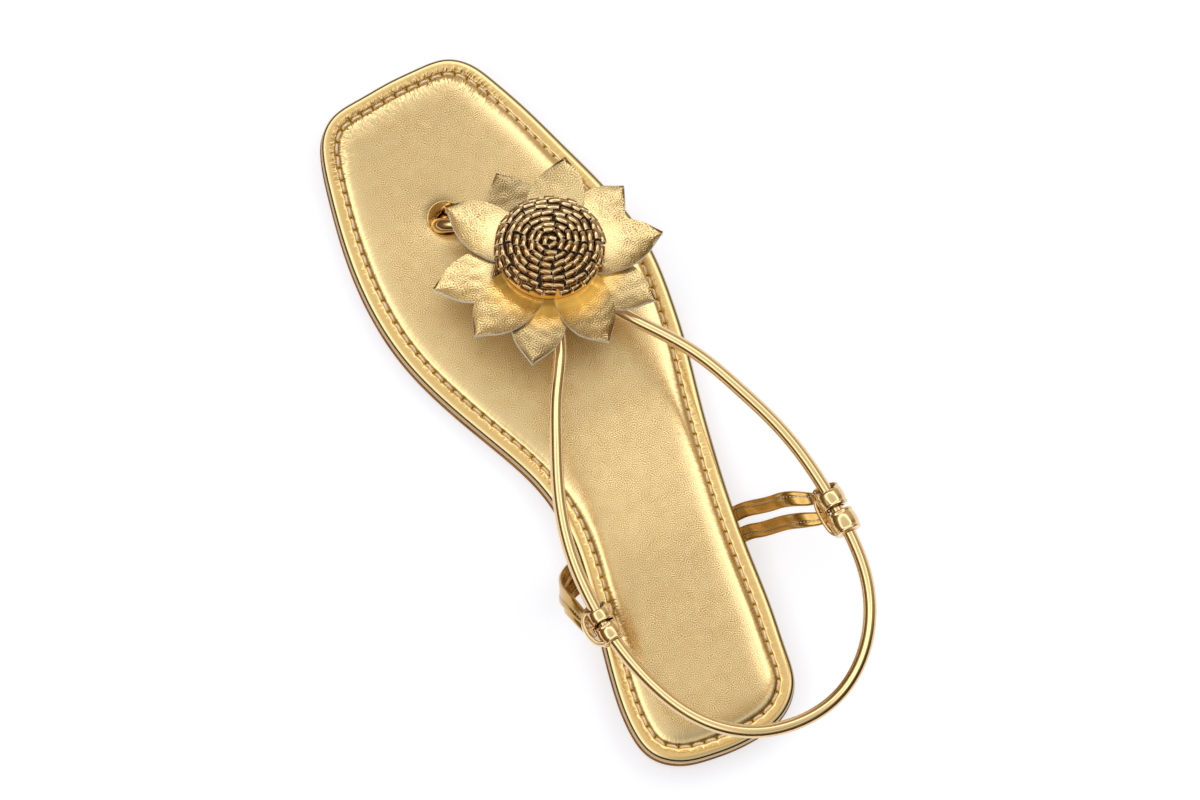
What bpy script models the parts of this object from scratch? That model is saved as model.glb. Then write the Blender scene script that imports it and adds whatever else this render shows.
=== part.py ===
"""Flat toe-post sandal for the right foot, with a leather flower and two ankle loops.

Row frame: +Y points to the toe, +X to the outer (lateral) side of the foot, +Z up, floor at Z = 0.
Tables are in millimetres; the meshes are written in metres.
"""

import math

import bmesh
import bpy
import numpy as np

MM = 0.001
GAP = 0.3

# ---- sole sizes -------------------------------------------------------------------------------

# Edge of the sole: y along the foot, x of the inner (medial) edge, x of the outer (lateral) edge.
SOLE_EDGE = (
    (-114.0, -27.3, 25.5),
    (-104.0, -29.3, 27.9),
    (-90.0, -27.9, 30.1),
    (-72.0, -23.9, 32.1),
    (-52.0, -19.7, 34.6),
    (-34.0, -17.6, 38.0),
    (-18.0, -19.4, 41.6),
    (0.0, -26.0, 46.0),
    (18.0, -33.6, 49.3),
    (38.0, -39.8, 51.0),
    (60.0, -42.1, 47.5),
    (80.0, -40.6, 41.5),
    (100.0, -36.7, 34.8),
    (110.0, -34.1, 30.7),
    (117.6, -30.3, 26.5),
)
# Points across the two squared ends, from the inner side to the outer side: x, y.
TOE_END = ((-24.6, 122.3), (-13.0, 123.9), (-2.0, 124.5), (9.0, 124.5), (19.2, 123.4))
HEEL_END = ((-19.0, -121.4), (-10.5, -123.7), (-1.5, -124.8), (7.5, -124.7), (16.4, -122.8))

# Height of the outsole's underside along the foot: heel, waist, tread, toe spring.
SOLE_LINE = (
    (-125.0, 3.3),
    (-74.0, 3.3),
    (-56.0, 3.6),
    (-38.0, 2.6),
    (-20.0, 0.9),
    (-6.0, 0.0),
    (78.0, 0.0),
    (100.0, 1.2),
    (125.0, 4.8),
)
HEEL_BREAST_Y = -72.0
HEEL_BREAST_CURVE = 3.0
HEEL_LIFT_HEIGHT = 3.0

# Wall of each sole layer from its underside to its upper face: inset from the sole edge, rise
# above the outsole's underside.
OUTSOLE_WALL = ((0.9, 0.0), (0.2, 0.3), (0.0, 0.9), (0.0, 2.5), (0.6, 3.0))
MIDSOLE_WALL = ((1.4, 3.3), (0.6, 3.7), (0.4, 4.4), (0.7, 5.2), (1.6, 5.5))
INSOLE_WALL = (
    (2.2, 5.8),
    (1.2, 6.1),
    (0.9, 7.2),
    (1.1, 8.3),
    (1.9, 8.9),
    (2.9, 8.7),
    (4.0, 8.5),
    (5.0, 8.1),
    (5.9, 8.7),
    (7.6, 9.5),
    (10.5, 10.1),
)
INSOLE_CROWN = 0.2

# Heel lift wall: inset from the sole edge, height above the floor.
HEEL_LIFT_WALL = ((1.2, 0.0), (0.6, 0.5), (0.6, 2.6), (1.0, HEEL_LIFT_HEIGHT))

# Punched hole for the toe post, a funnel through the insole and midsole: height, radius.
POST_HOLE_XY = (-5.6, 74.6)
POST_HOLE = ((3.1, 5.3), (7.6, 5.4), (9.2, 5.8), (10.0, 6.5), (11.5, 8.6))

# ---- strap sizes ------------------------------------------------------------------------------

# The rolled leather cord, from the hole in the insole round the heel and back: x, y, z.
CORD_RADIUS = 2.2
CORD_ROUTE = (
    (-8.0, 74.0, 3.3),
    (-7.9, 73.9, 7.4),
    (-5.9, 72.3, 11.2),
    (-2.3, 69.4, 13.8),
    (2.8, 63.4, 16.6),
    (8.2, 52.0, 20.4),
    (10.6, 36.0, 24.2),
    (6.7, 17.0, 27.8),
    (-2.3, 2.2, 31.0),
    (-9.3, -10.9, 33.6),
    (-17.6, -29.0, 36.4),
    (-22.8, -47.4, 39.0),
    (-24.2, -62.6, 40.8),
    (-23.9, -74.0, 41.9),
    (-22.2, -86.4, 43.6),
    (-18.3, -100.6, 46.3),
    (-10.6, -114.8, 48.8),
    (1.6, -124.9, 49.9),
    (15.2, -128.7, 49.7),
    (29.8, -127.3, 48.0),
    (43.6, -119.4, 44.9),
    (52.9, -108.2, 41.8),
    (57.7, -97.2, 39.7),
    (59.8, -85.4, 38.2),
    (60.2, -73.0, 36.8),
    (59.8, -62.4, 35.7),
    (58.5, -50.0, 34.5),
    (55.9, -37.8, 33.4),
    (51.2, -23.1, 31.8),
    (45.1, -7.1, 29.2),
    (38.0, 5.3, 26.6),
    (31.6, 14.8, 24.6),
    (24.8, 26.4, 22.8),
    (19.8, 38.0, 21.2),
    (14.8, 52.0, 18.8),
    (9.0, 63.6, 16.4),
    (3.6, 70.4, 14.8),
    (-0.2, 73.6, 13.1),
    (-2.7, 75.6, 9.6),
    (-3.2, 75.9, 3.3),
)

# Each ankle loop is one folded strap hitched round the cord: the length and radius of a wrap,
# where its two wraps sit along the cord (y), how far along the cord from the middle of its wrap
# each tail joins, and the side of the cord, in degrees from +X towards +Z, where its tails reach
# the wraps and where its bight passes, with the bight's reach. The tails start inside the midsole
# and are given bend by bend: x, y, height (None at the midsole's level).
LOOPS = {
    "ankle_loop_medial": {
        "leg": -1,
        "wrap": (6.2, 4.1),
        "wrap_y": (-69.3, -76.0),
        "joins": (0.0, 0.0),
        "tail_side": 176.0,
        "bight_side": 178.0,
        "bight_reach": 6.2,
        "tails": (
            (
                (-12.0, -46.6, None),
                (-17.0, -46.6, None),
                (-21.4, -46.8, 9.4),
                (-24.9, -48.3, 13.4),
                (-28.2, -51.4, 19.6),
                (-29.9, -55.4, 26.4),
                (-29.2, -61.6, 33.4),
            ),
            (
                (-13.0, -54.4, None),
                (-18.0, -54.4, None),
                (-22.4, -54.5, 9.4),
                (-26.2, -55.8, 13.4),
                (-29.6, -58.2, 19.6),
                (-31.2, -62.2, 26.8),
                (-30.0, -68.2, 33.8),
            ),
        ),
    },
    "ankle_loop_lateral": {
        "leg": 1,
        "wrap": (7.6, 4.75),
        "wrap_y": (-68.6, -77.4),
        "joins": (1.2, 2.4),
        "tail_side": 132.0,
        "bight_side": 206.0,
        "bight_reach": 6.2,
        "tails": (
            (
                (26.0, -56.2, None),
                (31.4, -56.2, None),
                (35.6, -56.3, 9.6),
                (38.6, -57.2, 13.6),
                (44.0, -59.1, 22.0),
                (50.4, -62.4, 30.8),
            ),
            (
                (26.0, -63.4, None),
                (31.0, -63.4, None),
                (35.0, -63.6, 9.6),
                (38.2, -64.4, 13.8),
                (44.1, -66.6, 22.6),
                (51.0, -70.6, 31.6),
            ),
        ),
    },
}
TAIL_LEVEL = 4.4
CORD_SIDES = 10
CORD_STEPS = 98
WRAP_BORE = CORD_RADIUS + 0.33
WRAP_SEGMENTS = 18
TAIL_WIDTH = 4.9
TAIL_THICKNESS = 1.6
TAIL_STEPS = 15
TAIL_LEAD = 3.2
BIGHT_WIDTH = 3.6
BIGHT_THICKNESS = 1.3
BIGHT_STEPS = 8
# The bight from one wrap to the other: wrap, share of its reach out, share of half a wrap along.
BIGHT_BENDS = (
    (0, 0.0, 1.0),
    (0, 0.75, 0.75),
    (0, 1.0, -0.5),
    (1, 1.0, 0.5),
    (1, 0.75, -0.75),
    (1, 0.0, -1.0),
)

# ---- flower sizes -----------------------------------------------------------------------------

# The flower lies across the two cord legs: centre of its underside and the way it faces.
FLOWER_CENTRE = (16.8, 44.4, 24.2)
FLOWER_FACES = (0.117, 0.231, 0.966)
PETAL_THICKNESS = 1.1
# Petal outline from the rosette's middle out to the tip: distance, half width.
PETAL_SHAPE = (
    (13.0, 9.445),
    (18.0, 10.6),
    (23.0, 10.9),
    (28.0, 9.2),
    (32.5, 5.6),
    (35.4, 2.0),
)
PETAL_TIP = 36.8
PETAL_COLUMNS = 6
# Each rosette: height of its underside, turn of its first petal, how far the petal sides cup up,
# and for each petal how far its tip reaches and lifts.
ROSETTES = {
    "petals_lower": {
        "base": 0.0,
        "turn": 20.6,
        "cup": 1.2,
        "tips": ((37.0, 1.0), (35.6, 1.6), (39.6, 1.2), (38.5, 0.6), (36.9, 1.0)),
    },
    "petals_upper": {
        "base": 1.5,
        "turn": 55.5,
        "cup": 1.8,
        "tips": ((35.0, 3.2), (37.5, 3.6), (38.5, 3.0), (37.8, 3.4), (38.3, 3.2)),
    },
}
PETAL_FLAT_RADIUS = 18.8
# Turned sections: radius, height above the flower's underside.
DRUM_SECTION = (
    (0.0, 2.9),
    (17.4, 2.9),
    (17.8, 3.4),
    (17.5, 3.9),
    (16.9, 4.2),
    (16.7, 6.8),
    (16.9, 9.6),
    (16.2, 10.2),
    (0.0, 10.2),
)
BEAD_ROWS = 8
BEAD_PITCH = 2.15
BEAD_HEIGHT = 1.9
TURNED_SEGMENTS = 32


# ---- curves -----------------------------------------------------------------------------------

def spline(points, closed=False):
    """Cubic spline through points: returns the function of distance, and each point's distance."""
    p = np.array(points, float)
    if closed:
        p = np.vstack([p, p[:1]])
    t = np.concatenate([[0.0], np.cumsum(np.linalg.norm(np.diff(p, axis=0), axis=1))])
    h = np.diff(t)
    n = len(p)
    slope = np.diff(p, axis=0) / h[:, None]
    a = np.zeros((n, n))
    b = np.zeros_like(p)
    for i in range(1, n - 1):
        a[i, i - 1:i + 2] = h[i - 1], 2 * (h[i - 1] + h[i]), h[i]
        b[i] = 6 * (slope[i] - slope[i - 1])
    a[0, 0] = 1.0
    a[-1, -1] = 1.0
    if closed:
        a[0, -1] = -1.0
        a[-1, :2] += 2 * h[0], h[0]
        a[-1, -2:] = h[-1], 2 * h[-1]
        b[-1] = 6 * (slope[0] - slope[-1])
    m = np.linalg.solve(a, b)

    def at(distance):
        d = np.clip(np.atleast_1d(distance), 0.0, t[-1])
        i = np.clip(np.searchsorted(t, d, side="right") - 1, 0, n - 2)
        u = (d - t[i])[:, None]
        g = h[i][:, None]
        cubic = m[i] / 2 * u ** 2 + (m[i + 1] - m[i]) / (6 * g) * u ** 3
        return p[i] + (slope[i] - g * (2 * m[i] + m[i + 1]) / 6) * u + cubic

    return at, t


def spaced(at, start, end, count, tightness=25.0):
    """Distances from start to end, closer together where the curve turns (tightness in mm)."""
    d = np.linspace(start, end, 600)
    p = at(d)
    run = np.gradient(p, axis=0)
    length = np.linalg.norm(run, axis=1)
    heading = run / length[:, None]
    turn = np.linalg.norm(np.gradient(heading, axis=0), axis=1)
    weight = length + tightness * turn
    total = np.concatenate([[0.0], np.cumsum((weight[1:] + weight[:-1]) / 2)])
    return np.interp(np.linspace(0.0, total[-1], count + 1), total, d)


def profile(table):
    """Smooth line through (station, value) rows that doesn't overshoot between them."""
    x, y = np.array(table, float).T
    h = np.diff(x)
    s = np.diff(y) / h
    m = np.zeros_like(y)
    same = s[1:] * s[:-1] > 0
    m[1:-1][same] = 2 * s[1:][same] * s[:-1][same] / (s[1:][same] + s[:-1][same])
    m[0], m[-1] = s[0], s[-1]

    def at(station):
        q = np.clip(np.asarray(station, float), x[0], x[-1])
        i = np.clip(np.searchsorted(x, q, side="right") - 1, 0, len(x) - 2)
        u = (q - x[i]) / h[i]
        low = y[i] * (1 + 2 * u) * (1 - u) ** 2 + m[i] * h[i] * u * (1 - u) ** 2
        return low + y[i + 1] * u * u * (3 - 2 * u) + m[i + 1] * h[i] * u * u * (u - 1)

    return at


sole_line = profile(SOLE_LINE)
petal_half_width = profile(PETAL_SHAPE)


def on_sole(points, rise):
    """Heights at a rise above the outsole's underside."""
    return sole_line(points[:, 1]) + rise


def on_floor(points, rise):
    """Heights at a rise above the floor."""
    return np.full(len(points), rise)


def sole_curve():
    """Edge of the sole, anticlockwise from the middle of the heel, and its toe and full lengths."""
    lateral = [(x, y) for y, _, x in SOLE_EDGE]
    medial = [(x, y) for y, x, _ in SOLE_EDGE]
    heel = len(HEEL_END) // 2
    at, t = spline(
        [*HEEL_END[heel:], *lateral, *TOE_END[::-1], *medial[::-1], *HEEL_END[:heel]],
        closed=True,
    )
    toe = len(HEEL_END) - heel + len(lateral) + len(TOE_END) // 2
    return at, t[toe], t[-1]


def sole_edge(half_count):
    """Points round the sole, as many on the lateral half as on the medial half."""
    at, toe, whole = sole_curve()
    first = spaced(at, 0.0, toe, half_count)[:-1]
    second = spaced(at, toe, whole, half_count)[:-1]
    return at(np.concatenate([first, second]))


def heel_edge(half_count, breast_count):
    """Points round the heel lift: the sole's edge behind the breast, closed by a curved breast."""
    at, toe, whole = sole_curve()
    sides = []
    for start, end in ((0.0, toe), (whole, toe)):
        d = np.linspace(start, end, 900)
        stop = d[np.argmax(at(d)[:, 1] > HEEL_BREAST_Y)]
        low, high = sorted((start, stop))
        side = at(spaced(at, low, high, half_count))
        sides.append(side if start == 0.0 else side[::-1])
    lateral, medial = sides
    share = np.linspace(0.0, 1.0, 2 * breast_count + 1)[1:-1]
    breast = lateral[-1] * (1 - share[:, None]) + medial[-1] * share[:, None]
    breast[:, 1] -= HEEL_BREAST_CURVE * np.sin(math.pi * share)
    return np.vstack([lateral, breast, medial[:0:-1]])


def inset(loop, distance):
    """The anticlockwise loop moved inwards."""
    run = np.roll(loop, -1, axis=0) - np.roll(loop, 1, axis=0)
    run /= np.linalg.norm(run, axis=1)[:, None]
    return loop + distance * np.column_stack([-run[:, 1], run[:, 0]])


# ---- solids -----------------------------------------------------------------------------------

def material(name, rgb, metallic, roughness):
    """Plain surface in a linear colour."""
    made = bpy.data.materials.new(name)
    made.use_nodes = True
    shader = made.node_tree.nodes["Principled BSDF"]
    shader.inputs["Base Color"].default_value = (*rgb, 1.0)
    shader.inputs["Metallic"].default_value = metallic
    shader.inputs["Roughness"].default_value = roughness
    made.diffuse_color = (*rgb, 1.0)
    return made


def solid(name, vertices, faces, surface=None):
    """One closed object, its faces turned outwards and smooth but for its sharp edges."""
    mesh = bpy.data.meshes.new(name)
    mesh.from_pydata([tuple(MM * float(c) for c in v) for v in vertices], [], faces)
    if surface:
        mesh.materials.append(surface)
    made = bpy.data.objects.new(name, mesh)
    bpy.context.scene.collection.objects.link(made)
    work = bmesh.new()
    work.from_mesh(mesh)
    bmesh.ops.recalc_face_normals(work, faces=work.faces)
    work.to_mesh(mesh)
    work.free()
    mesh.shade_smooth()
    mesh.set_sharp_from_angle(angle=math.radians(40))
    return made


def combine(base, tool, operation):
    """Applies one exact boolean to base and removes the tool."""
    step = base.modifiers.new(operation.lower(), "BOOLEAN")
    step.operation = operation
    step.solver = "EXACT"
    step.object = tool
    graph = bpy.context.evaluated_depsgraph_get()
    result = bpy.data.meshes.new_from_object(base.evaluated_get(graph))
    base.modifiers.clear()
    old = base.data
    base.data = result
    bpy.data.meshes.remove(old)
    bpy.data.objects.remove(tool)
    result.name = base.name
    result.shade_smooth()
    result.set_sharp_from_angle(angle=math.radians(40))


def cut_notch(tail_start, leg):
    """Opens the midsole from its edge to the inner end of a tail (leg is the side, 1 or -1)."""
    x, y, z = tail_start
    span = sorted((x - 0.4 * leg, x + 14.0 * leg))
    reach = TAIL_WIDTH / 2 + GAP
    corners = [(a, b, c) for a in span for b in (y - reach, y + reach) for c in (z - 3.0, z + 3.0)]
    sides = [(0, 1, 3, 2), (4, 6, 7, 5), (0, 4, 5, 1), (2, 3, 7, 6), (0, 2, 6, 4), (1, 5, 7, 3)]
    combine(midsole, solid("cutter", corners, sides), "DIFFERENCE")


def ladder(vertices, first, count, columns, lift, height):
    """Closes a loop whose two halves face each other, with rows of new points between the halves.

    first is the loop's first vertex and count its length; lift(u) is the rise of a point at share
    u of the way across.
    """
    half = count // 2
    rows = [[first]]
    for i in range(1, half):
        near = np.array(vertices[first + i][:2])
        far = np.array(vertices[first + count - i][:2])
        row = [first + i]
        for u in np.linspace(0.0, 1.0, columns + 1)[1:-1]:
            point = near * (1 - u) + far * u
            row.append(len(vertices))
            vertices.append((*point, float(height(point[None], lift(u))[0])))
        rows.append([*row, first + count - i])
    rows.append([first + half])
    faces = []
    for a, b in zip(rows[:-1], rows[1:]):
        if len(a) == 1:
            faces += [(a[0], b[c], b[c + 1]) for c in range(columns)]
        elif len(b) == 1:
            faces += [(a[c], b[0], a[c + 1]) for c in range(columns)]
        else:
            faces += [(a[c], b[c], b[c + 1], a[c + 1]) for c in range(columns)]
    return faces


def layer(name, edge, wall, height, surface, crown=0.0, columns=1):
    """One sole layer: the edge loop inset row by row up its wall, closed below and above.

    height(points, rise) gives the z of points; the top has so many columns of faces across and
    swells by crown in the middle. With no columns, a single flat face closes each end.
    """
    count = len(edge)
    vertices = []
    for distance, rise in wall:
        ring = inset(edge, distance)
        vertices += [(*p, z) for p, z in zip(ring, height(ring, rise))]
    faces = []
    for r in range(len(wall) - 1):
        for i in range(count):
            j = (i + 1) % count
            a, b = r * count, (r + 1) * count
            faces.append((a + i, a + j, b + j, b + i))
    last = len(vertices) - count
    if columns == 0:
        faces += [tuple(range(count)), tuple(range(last, last + count))]
        return solid(name, vertices, faces, surface)
    top = wall[-1][1]
    faces += ladder(vertices, 0, count, 1, None, height)
    faces += ladder(
        vertices,
        last,
        count,
        columns,
        lambda u: top + crown * math.sin(math.pi * u) ** 0.6,
        height,
    )
    return solid(name, vertices, faces, surface)


def frame_on(axis, hint):
    """Two unit vectors square to axis and to each other, the first nearest to hint."""
    axis = np.array(axis, float) / np.linalg.norm(axis)
    first = np.array(hint, float) - np.dot(hint, axis) * axis
    first /= np.linalg.norm(first)
    return axis, first, np.cross(axis, first)


def turned(name, section, centre, axis, hint, segments, surface=None, ring=False):
    """Solid turned about an axis from (radius, height) rows; ring joins the last to the first."""
    axis, first, second = frame_on(axis, hint)
    vertices = []
    rows = []
    for radius, height in section:
        start = len(vertices)
        middle = np.array(centre) + axis * height
        if radius == 0.0:
            vertices.append(middle)
            rows.append([start])
            continue
        for k in range(segments):
            angle = 2 * math.pi * k / segments
            vertices.append(middle + radius * (math.cos(angle) * first + math.sin(angle) * second))
        rows.append(list(range(start, start + segments)))
    faces = []
    pairs = list(zip(rows[:-1], rows[1:])) + ([(rows[-1], rows[0])] if ring else [])
    for a, b in pairs:
        for k in range(segments):
            n = (k + 1) % segments
            if len(a) == 1:
                faces.append((a[0], b[n], b[k]))
            elif len(b) == 1:
                faces.append((a[k], a[n], b[0]))
            else:
                faces.append((a[k], a[n], b[n], b[k]))
    return solid(name, vertices, faces, surface)


def headings(path):
    """Unit vectors along a path at each of its points."""
    run = np.gradient(path, axis=0)
    return run / np.linalg.norm(run, axis=1)[:, None]


def swept(name, path, section, hints, surface=None):
    """Section (across, up) carried along a path.

    hints gives the way across at each point; a single one is carried along without twisting.
    """
    vertices = []
    count = len(section)
    across = np.array(hints[0], float)
    for i, (point, heading) in enumerate(zip(path, headings(path))):
        _, across, up = frame_on(heading, hints[i] if len(hints) > 1 else across)
        vertices += [point + a * across + b * up for a, b in section]
    faces = []
    for r in range(len(path) - 1):
        for k in range(count):
            n = (k + 1) % count
            a, b = r * count, (r + 1) * count
            faces.append((a + k, a + n, b + n, b + k))
    faces.append(tuple(range(count))[::-1])
    faces.append(tuple(range((len(path) - 1) * count, len(path) * count)))
    return solid(name, vertices, faces, surface)


def strap_section(width, thickness):
    """Flat strap with rounded edges."""
    w, t = width / 2, thickness / 2
    lower = [(-w, 0), (-w + t, -t), (0, -t * 1.05), (w - t, -t)]
    return lower + [(-a, -b) for a, b in lower]


def thickened(sheet, faces, thickness):
    """Closes a sheet of faces (vertices with z up) into a plate that reaches thickness below it."""
    vertices = list(sheet) + [v - np.array([0.0, 0.0, thickness]) for v in sheet]
    n = len(sheet)
    closed = list(faces) + [tuple(n + i for i in reversed(f)) for f in faces]
    edges = {}
    for f in faces:
        for a, b in zip(f, f[1:] + f[:1]):
            edges[(a, b)] = True
    for a, b in edges:
        if (b, a) not in edges:
            closed.append((b, a, n + a, n + b))
    return vertices, closed


def turn_round(centre, axis, degrees, radius):
    """Point beside a cord, at an angle from +X towards +Z, and the way round the cord there."""
    _, x_way, z_way = frame_on(axis, (1, 0, 0))
    z_way = z_way * math.copysign(1.0, z_way[2])
    angle = math.radians(degrees)
    out = math.cos(angle) * x_way + math.sin(angle) * z_way
    return centre + radius * out, math.cos(angle) * z_way - math.sin(angle) * x_way


def petal_point(r, t, angle, reach, lift, cup, top):
    """Point of a petal's upper face in the flower's own frame: r along it, t across (-1 to 1)."""
    start = PETAL_SHAPE[0][0]
    along = np.array([math.cos(angle), math.sin(angle)])
    aside = np.array([-along[1], along[0]])
    stretched = start + (r - start) * (reach - start) / (PETAL_TIP - start)
    flat = stretched * along + t * float(petal_half_width(r)) * aside
    beyond = np.linalg.norm(flat) - PETAL_FLAT_RADIUS
    share = max(0.0, beyond / (reach - PETAL_FLAT_RADIUS)) ** 1.3
    return np.array([*flat, top + (lift + cup * t * t) * share])


def rosette(base, turn, cup, tips):
    """Upper face of one rosette: a middle point with the petals round it, each row by row."""
    top = base + PETAL_THICKNESS
    sheet = [np.array([0.0, 0.0, top])]
    faces = []
    across = np.linspace(-1.0, 1.0, PETAL_COLUMNS + 1)
    corner = None
    for k, (reach, lift) in enumerate(tips):
        angle = math.radians(turn + 360.0 * k / len(tips))
        rows = []
        for r, _ in PETAL_SHAPE:
            row = list(range(len(sheet), len(sheet) + PETAL_COLUMNS + 1))
            points = [petal_point(r, t, angle, reach, lift, cup, top) for t in across]
            if not rows and k > 0:
                row = [corner] + [i - 1 for i in row[1:]]
                points = points[1:]
            if not rows and k == len(tips) - 1:
                row[-1] = 1
                points = points[:-1]
            sheet += points
            rows.append(row)
        corner = rows[0][-1]
        tip = len(sheet)
        sheet.append(np.array([reach * math.cos(angle), reach * math.sin(angle), top + lift]))
        for c in range(PETAL_COLUMNS):
            faces.append((0, rows[0][c], rows[0][c + 1]))
            for a, b in zip(rows[:-1], rows[1:]):
                faces.append((a[c], b[c], b[c + 1], a[c + 1]))
            faces.append((rows[-1][c], tip, rows[-1][c + 1]))
    return sheet, faces


# ---- build ------------------------------------------------------------------------------------

for leftover in list(bpy.data.objects):
    bpy.data.objects.remove(leftover)

gold_leather = material("gold_leather", (0.72, 0.52, 0.24), 0.85, 0.34)
gold_cord = material("gold_cord_leather", (0.74, 0.54, 0.26), 0.9, 0.24)
brown_sole = material("brown_sole", (0.16, 0.075, 0.03), 0.0, 0.5)
petal_foil = material("petal_foil_leather", (0.76, 0.6, 0.32), 0.85, 0.38)
bronze_bead = material("bronze_bead", (0.3, 0.19, 0.08), 0.95, 0.25)

edge = sole_edge(36)
outsole = layer("outsole", edge, OUTSOLE_WALL, on_sole, brown_sole)
midsole = layer("midsole", edge, MIDSOLE_WALL, on_sole, gold_leather)
insole = layer("insole", edge, INSOLE_WALL, on_sole, gold_leather, INSOLE_CROWN, 5)
heel_lift = layer("heel_lift", heel_edge(13, 3), HEEL_LIFT_WALL, on_floor, brown_sole, columns=0)

# The post hole goes through the insole and the midsole.
for sole_part in (insole, midsole):
    funnel = [(0.0, POST_HOLE[0][0])] + [(r, z) for z, r in POST_HOLE] + [(0.0, POST_HOLE[-1][0])]
    cutter = turned("cutter", funnel, (*POST_HOLE_XY, 0.0), (0, 0, 1), (1, 0, 0), 24)
    combine(sole_part, cutter, "DIFFERENCE")

# Cord: one length from the hole round the heel and back into the hole.
cord_at, cord_lengths = spline(CORD_ROUTE)
cord_angles = [2 * math.pi * k / CORD_SIDES for k in range(CORD_SIDES)]
cord_section = [(CORD_RADIUS * math.cos(a), CORD_RADIUS * math.sin(a)) for a in cord_angles]
cord_path = cord_at(spaced(cord_at, 0.0, cord_lengths[-1], CORD_STEPS, 14.0))
swept("strap_cord", cord_path, cord_section, [(1, 0, 0)], gold_cord)

# Ankle loops: two wraps round the cord, two tails into the midsole and the bight between the wraps.
fine = cord_at(np.linspace(0.0, cord_lengths[-1], 4000))
fine_headings = headings(fine)
for name, loop in LOOPS.items():
    beside = (fine[:, 0] * loop["leg"] > 15.0) & (fine[:, 1] < -55.0) & (fine[:, 1] > -90.0)
    leg = np.flatnonzero(beside)
    length, radius = loop["wrap"]
    half = length / 2
    wall = (
        (WRAP_BORE, 1.0 - half),
        (WRAP_BORE + 0.5, -half),
        (radius - 0.4, -half),
        (radius, 0.9 - half),
        (radius, half - 0.9),
        (radius - 0.4, half),
        (WRAP_BORE + 0.5, half),
        (WRAP_BORE, half - 1.0),
    )
    wraps = []
    pieces = []
    for y, join, bends in zip(loop["wrap_y"], loop["joins"], loop["tails"]):
        i = leg[np.argmin(abs(fine[leg, 1] - y))]
        centre = fine[i]
        axis = fine_headings[i] * math.copysign(1.0, fine_headings[i][1])
        wraps.append((centre, axis))
        pieces.append(turned(name, wall, centre, axis, (1, 0, 0), WRAP_SEGMENTS, gold_cord, True))

        level = [(x, y, float(sole_line(y)) + TAIL_LEVEL if z is None else z) for x, y, z in bends]
        reach = WRAP_BORE + 0.15 + TAIL_THICKNESS / 2
        end, way = turn_round(centre + join * axis, axis, loop["tail_side"], reach)
        way = way * math.copysign(1.0, np.dot(way, end - np.array(level[-1])))
        tail_at, tail_lengths = spline([*level, end - TAIL_LEAD * way, end])
        path = tail_at(spaced(tail_at, 0.0, tail_lengths[-1], TAIL_STEPS, 8.0))
        share = np.linspace(0.0, 1.0, len(path))[:, None] ** 2
        hints = (1 - share) * np.array([0.0, 1.0, 0.0]) + share * axis
        tail_section = strap_section(TAIL_WIDTH, TAIL_THICKNESS)
        pieces.append(swept("tail", path, tail_section, hints, gold_cord))
        cut_notch(level[0], loop["leg"])

    foot = WRAP_BORE + 0.9
    rise = loop["bight_reach"] - foot
    bight = []
    for k, out, along in BIGHT_BENDS:
        centre, axis = wraps[k]
        point, way = turn_round(centre, axis, loop["bight_side"], foot + out * rise)
        bight.append(point + along * (half - 1.0) * axis)
    bight_at, bight_lengths = spline(bight)
    path = bight_at(np.linspace(0.0, bight_lengths[-1], BIGHT_STEPS))
    bight_section = strap_section(BIGHT_WIDTH, BIGHT_THICKNESS)
    pieces.append(swept("bight", path, bight_section, [way] * len(path), gold_cord))
    for piece in pieces[1:]:
        combine(pieces[0], piece, "UNION")

# Flower: two petal rosettes, the wrapped drum and the beaded pad, all square to FLOWER_FACES.
facing, flower_x, flower_y = frame_on(FLOWER_FACES, (1, 0, 0))
to_world = np.vstack([flower_x, flower_y, facing])
for name, petals in ROSETTES.items():
    vertices, faces = thickened(*rosette(**petals), PETAL_THICKNESS)
    solid(name, np.array(vertices) @ to_world + FLOWER_CENTRE, faces, petal_foil)

turned("flower_drum", DRUM_SECTION, FLOWER_CENTRE, facing, flower_x, TURNED_SEGMENTS, gold_leather)

bead_edge = BEAD_ROWS * BEAD_PITCH + 0.8
bead_base = DRUM_SECTION[-1][1] + GAP
bead_section = [(0.0, bead_base), (bead_edge - 1.2, bead_base), (bead_edge, bead_base + 0.9)]
for k in range(BEAD_ROWS, 0, -1):
    crest = bead_base + BEAD_HEIGHT + 0.8 * (1 - (k / BEAD_ROWS) ** 2)
    bead_section.append(((k - 0.15) * BEAD_PITCH, crest))
    bead_section.append(((k - 0.65) * BEAD_PITCH, crest - 0.55))
bead_section.append((0.0, bead_base + BEAD_HEIGHT + 1.0))
turned("bead_pad", bead_section, FLOWER_CENTRE, facing, flower_x, TURNED_SEGMENTS, bronze_bead)
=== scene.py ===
"""Look of the flat toe-post sandal: foil leather, rolled cord strap, ankle loops, beaded flower.

Lengths in the tables are millimetres in the shoe's own frame: +Y to the toe, +X to the outer side
of the foot, +Z up, floor at Z = 0.
"""
import math

import bpy
import numpy as np
from mathutils import Matrix, Vector


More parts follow.
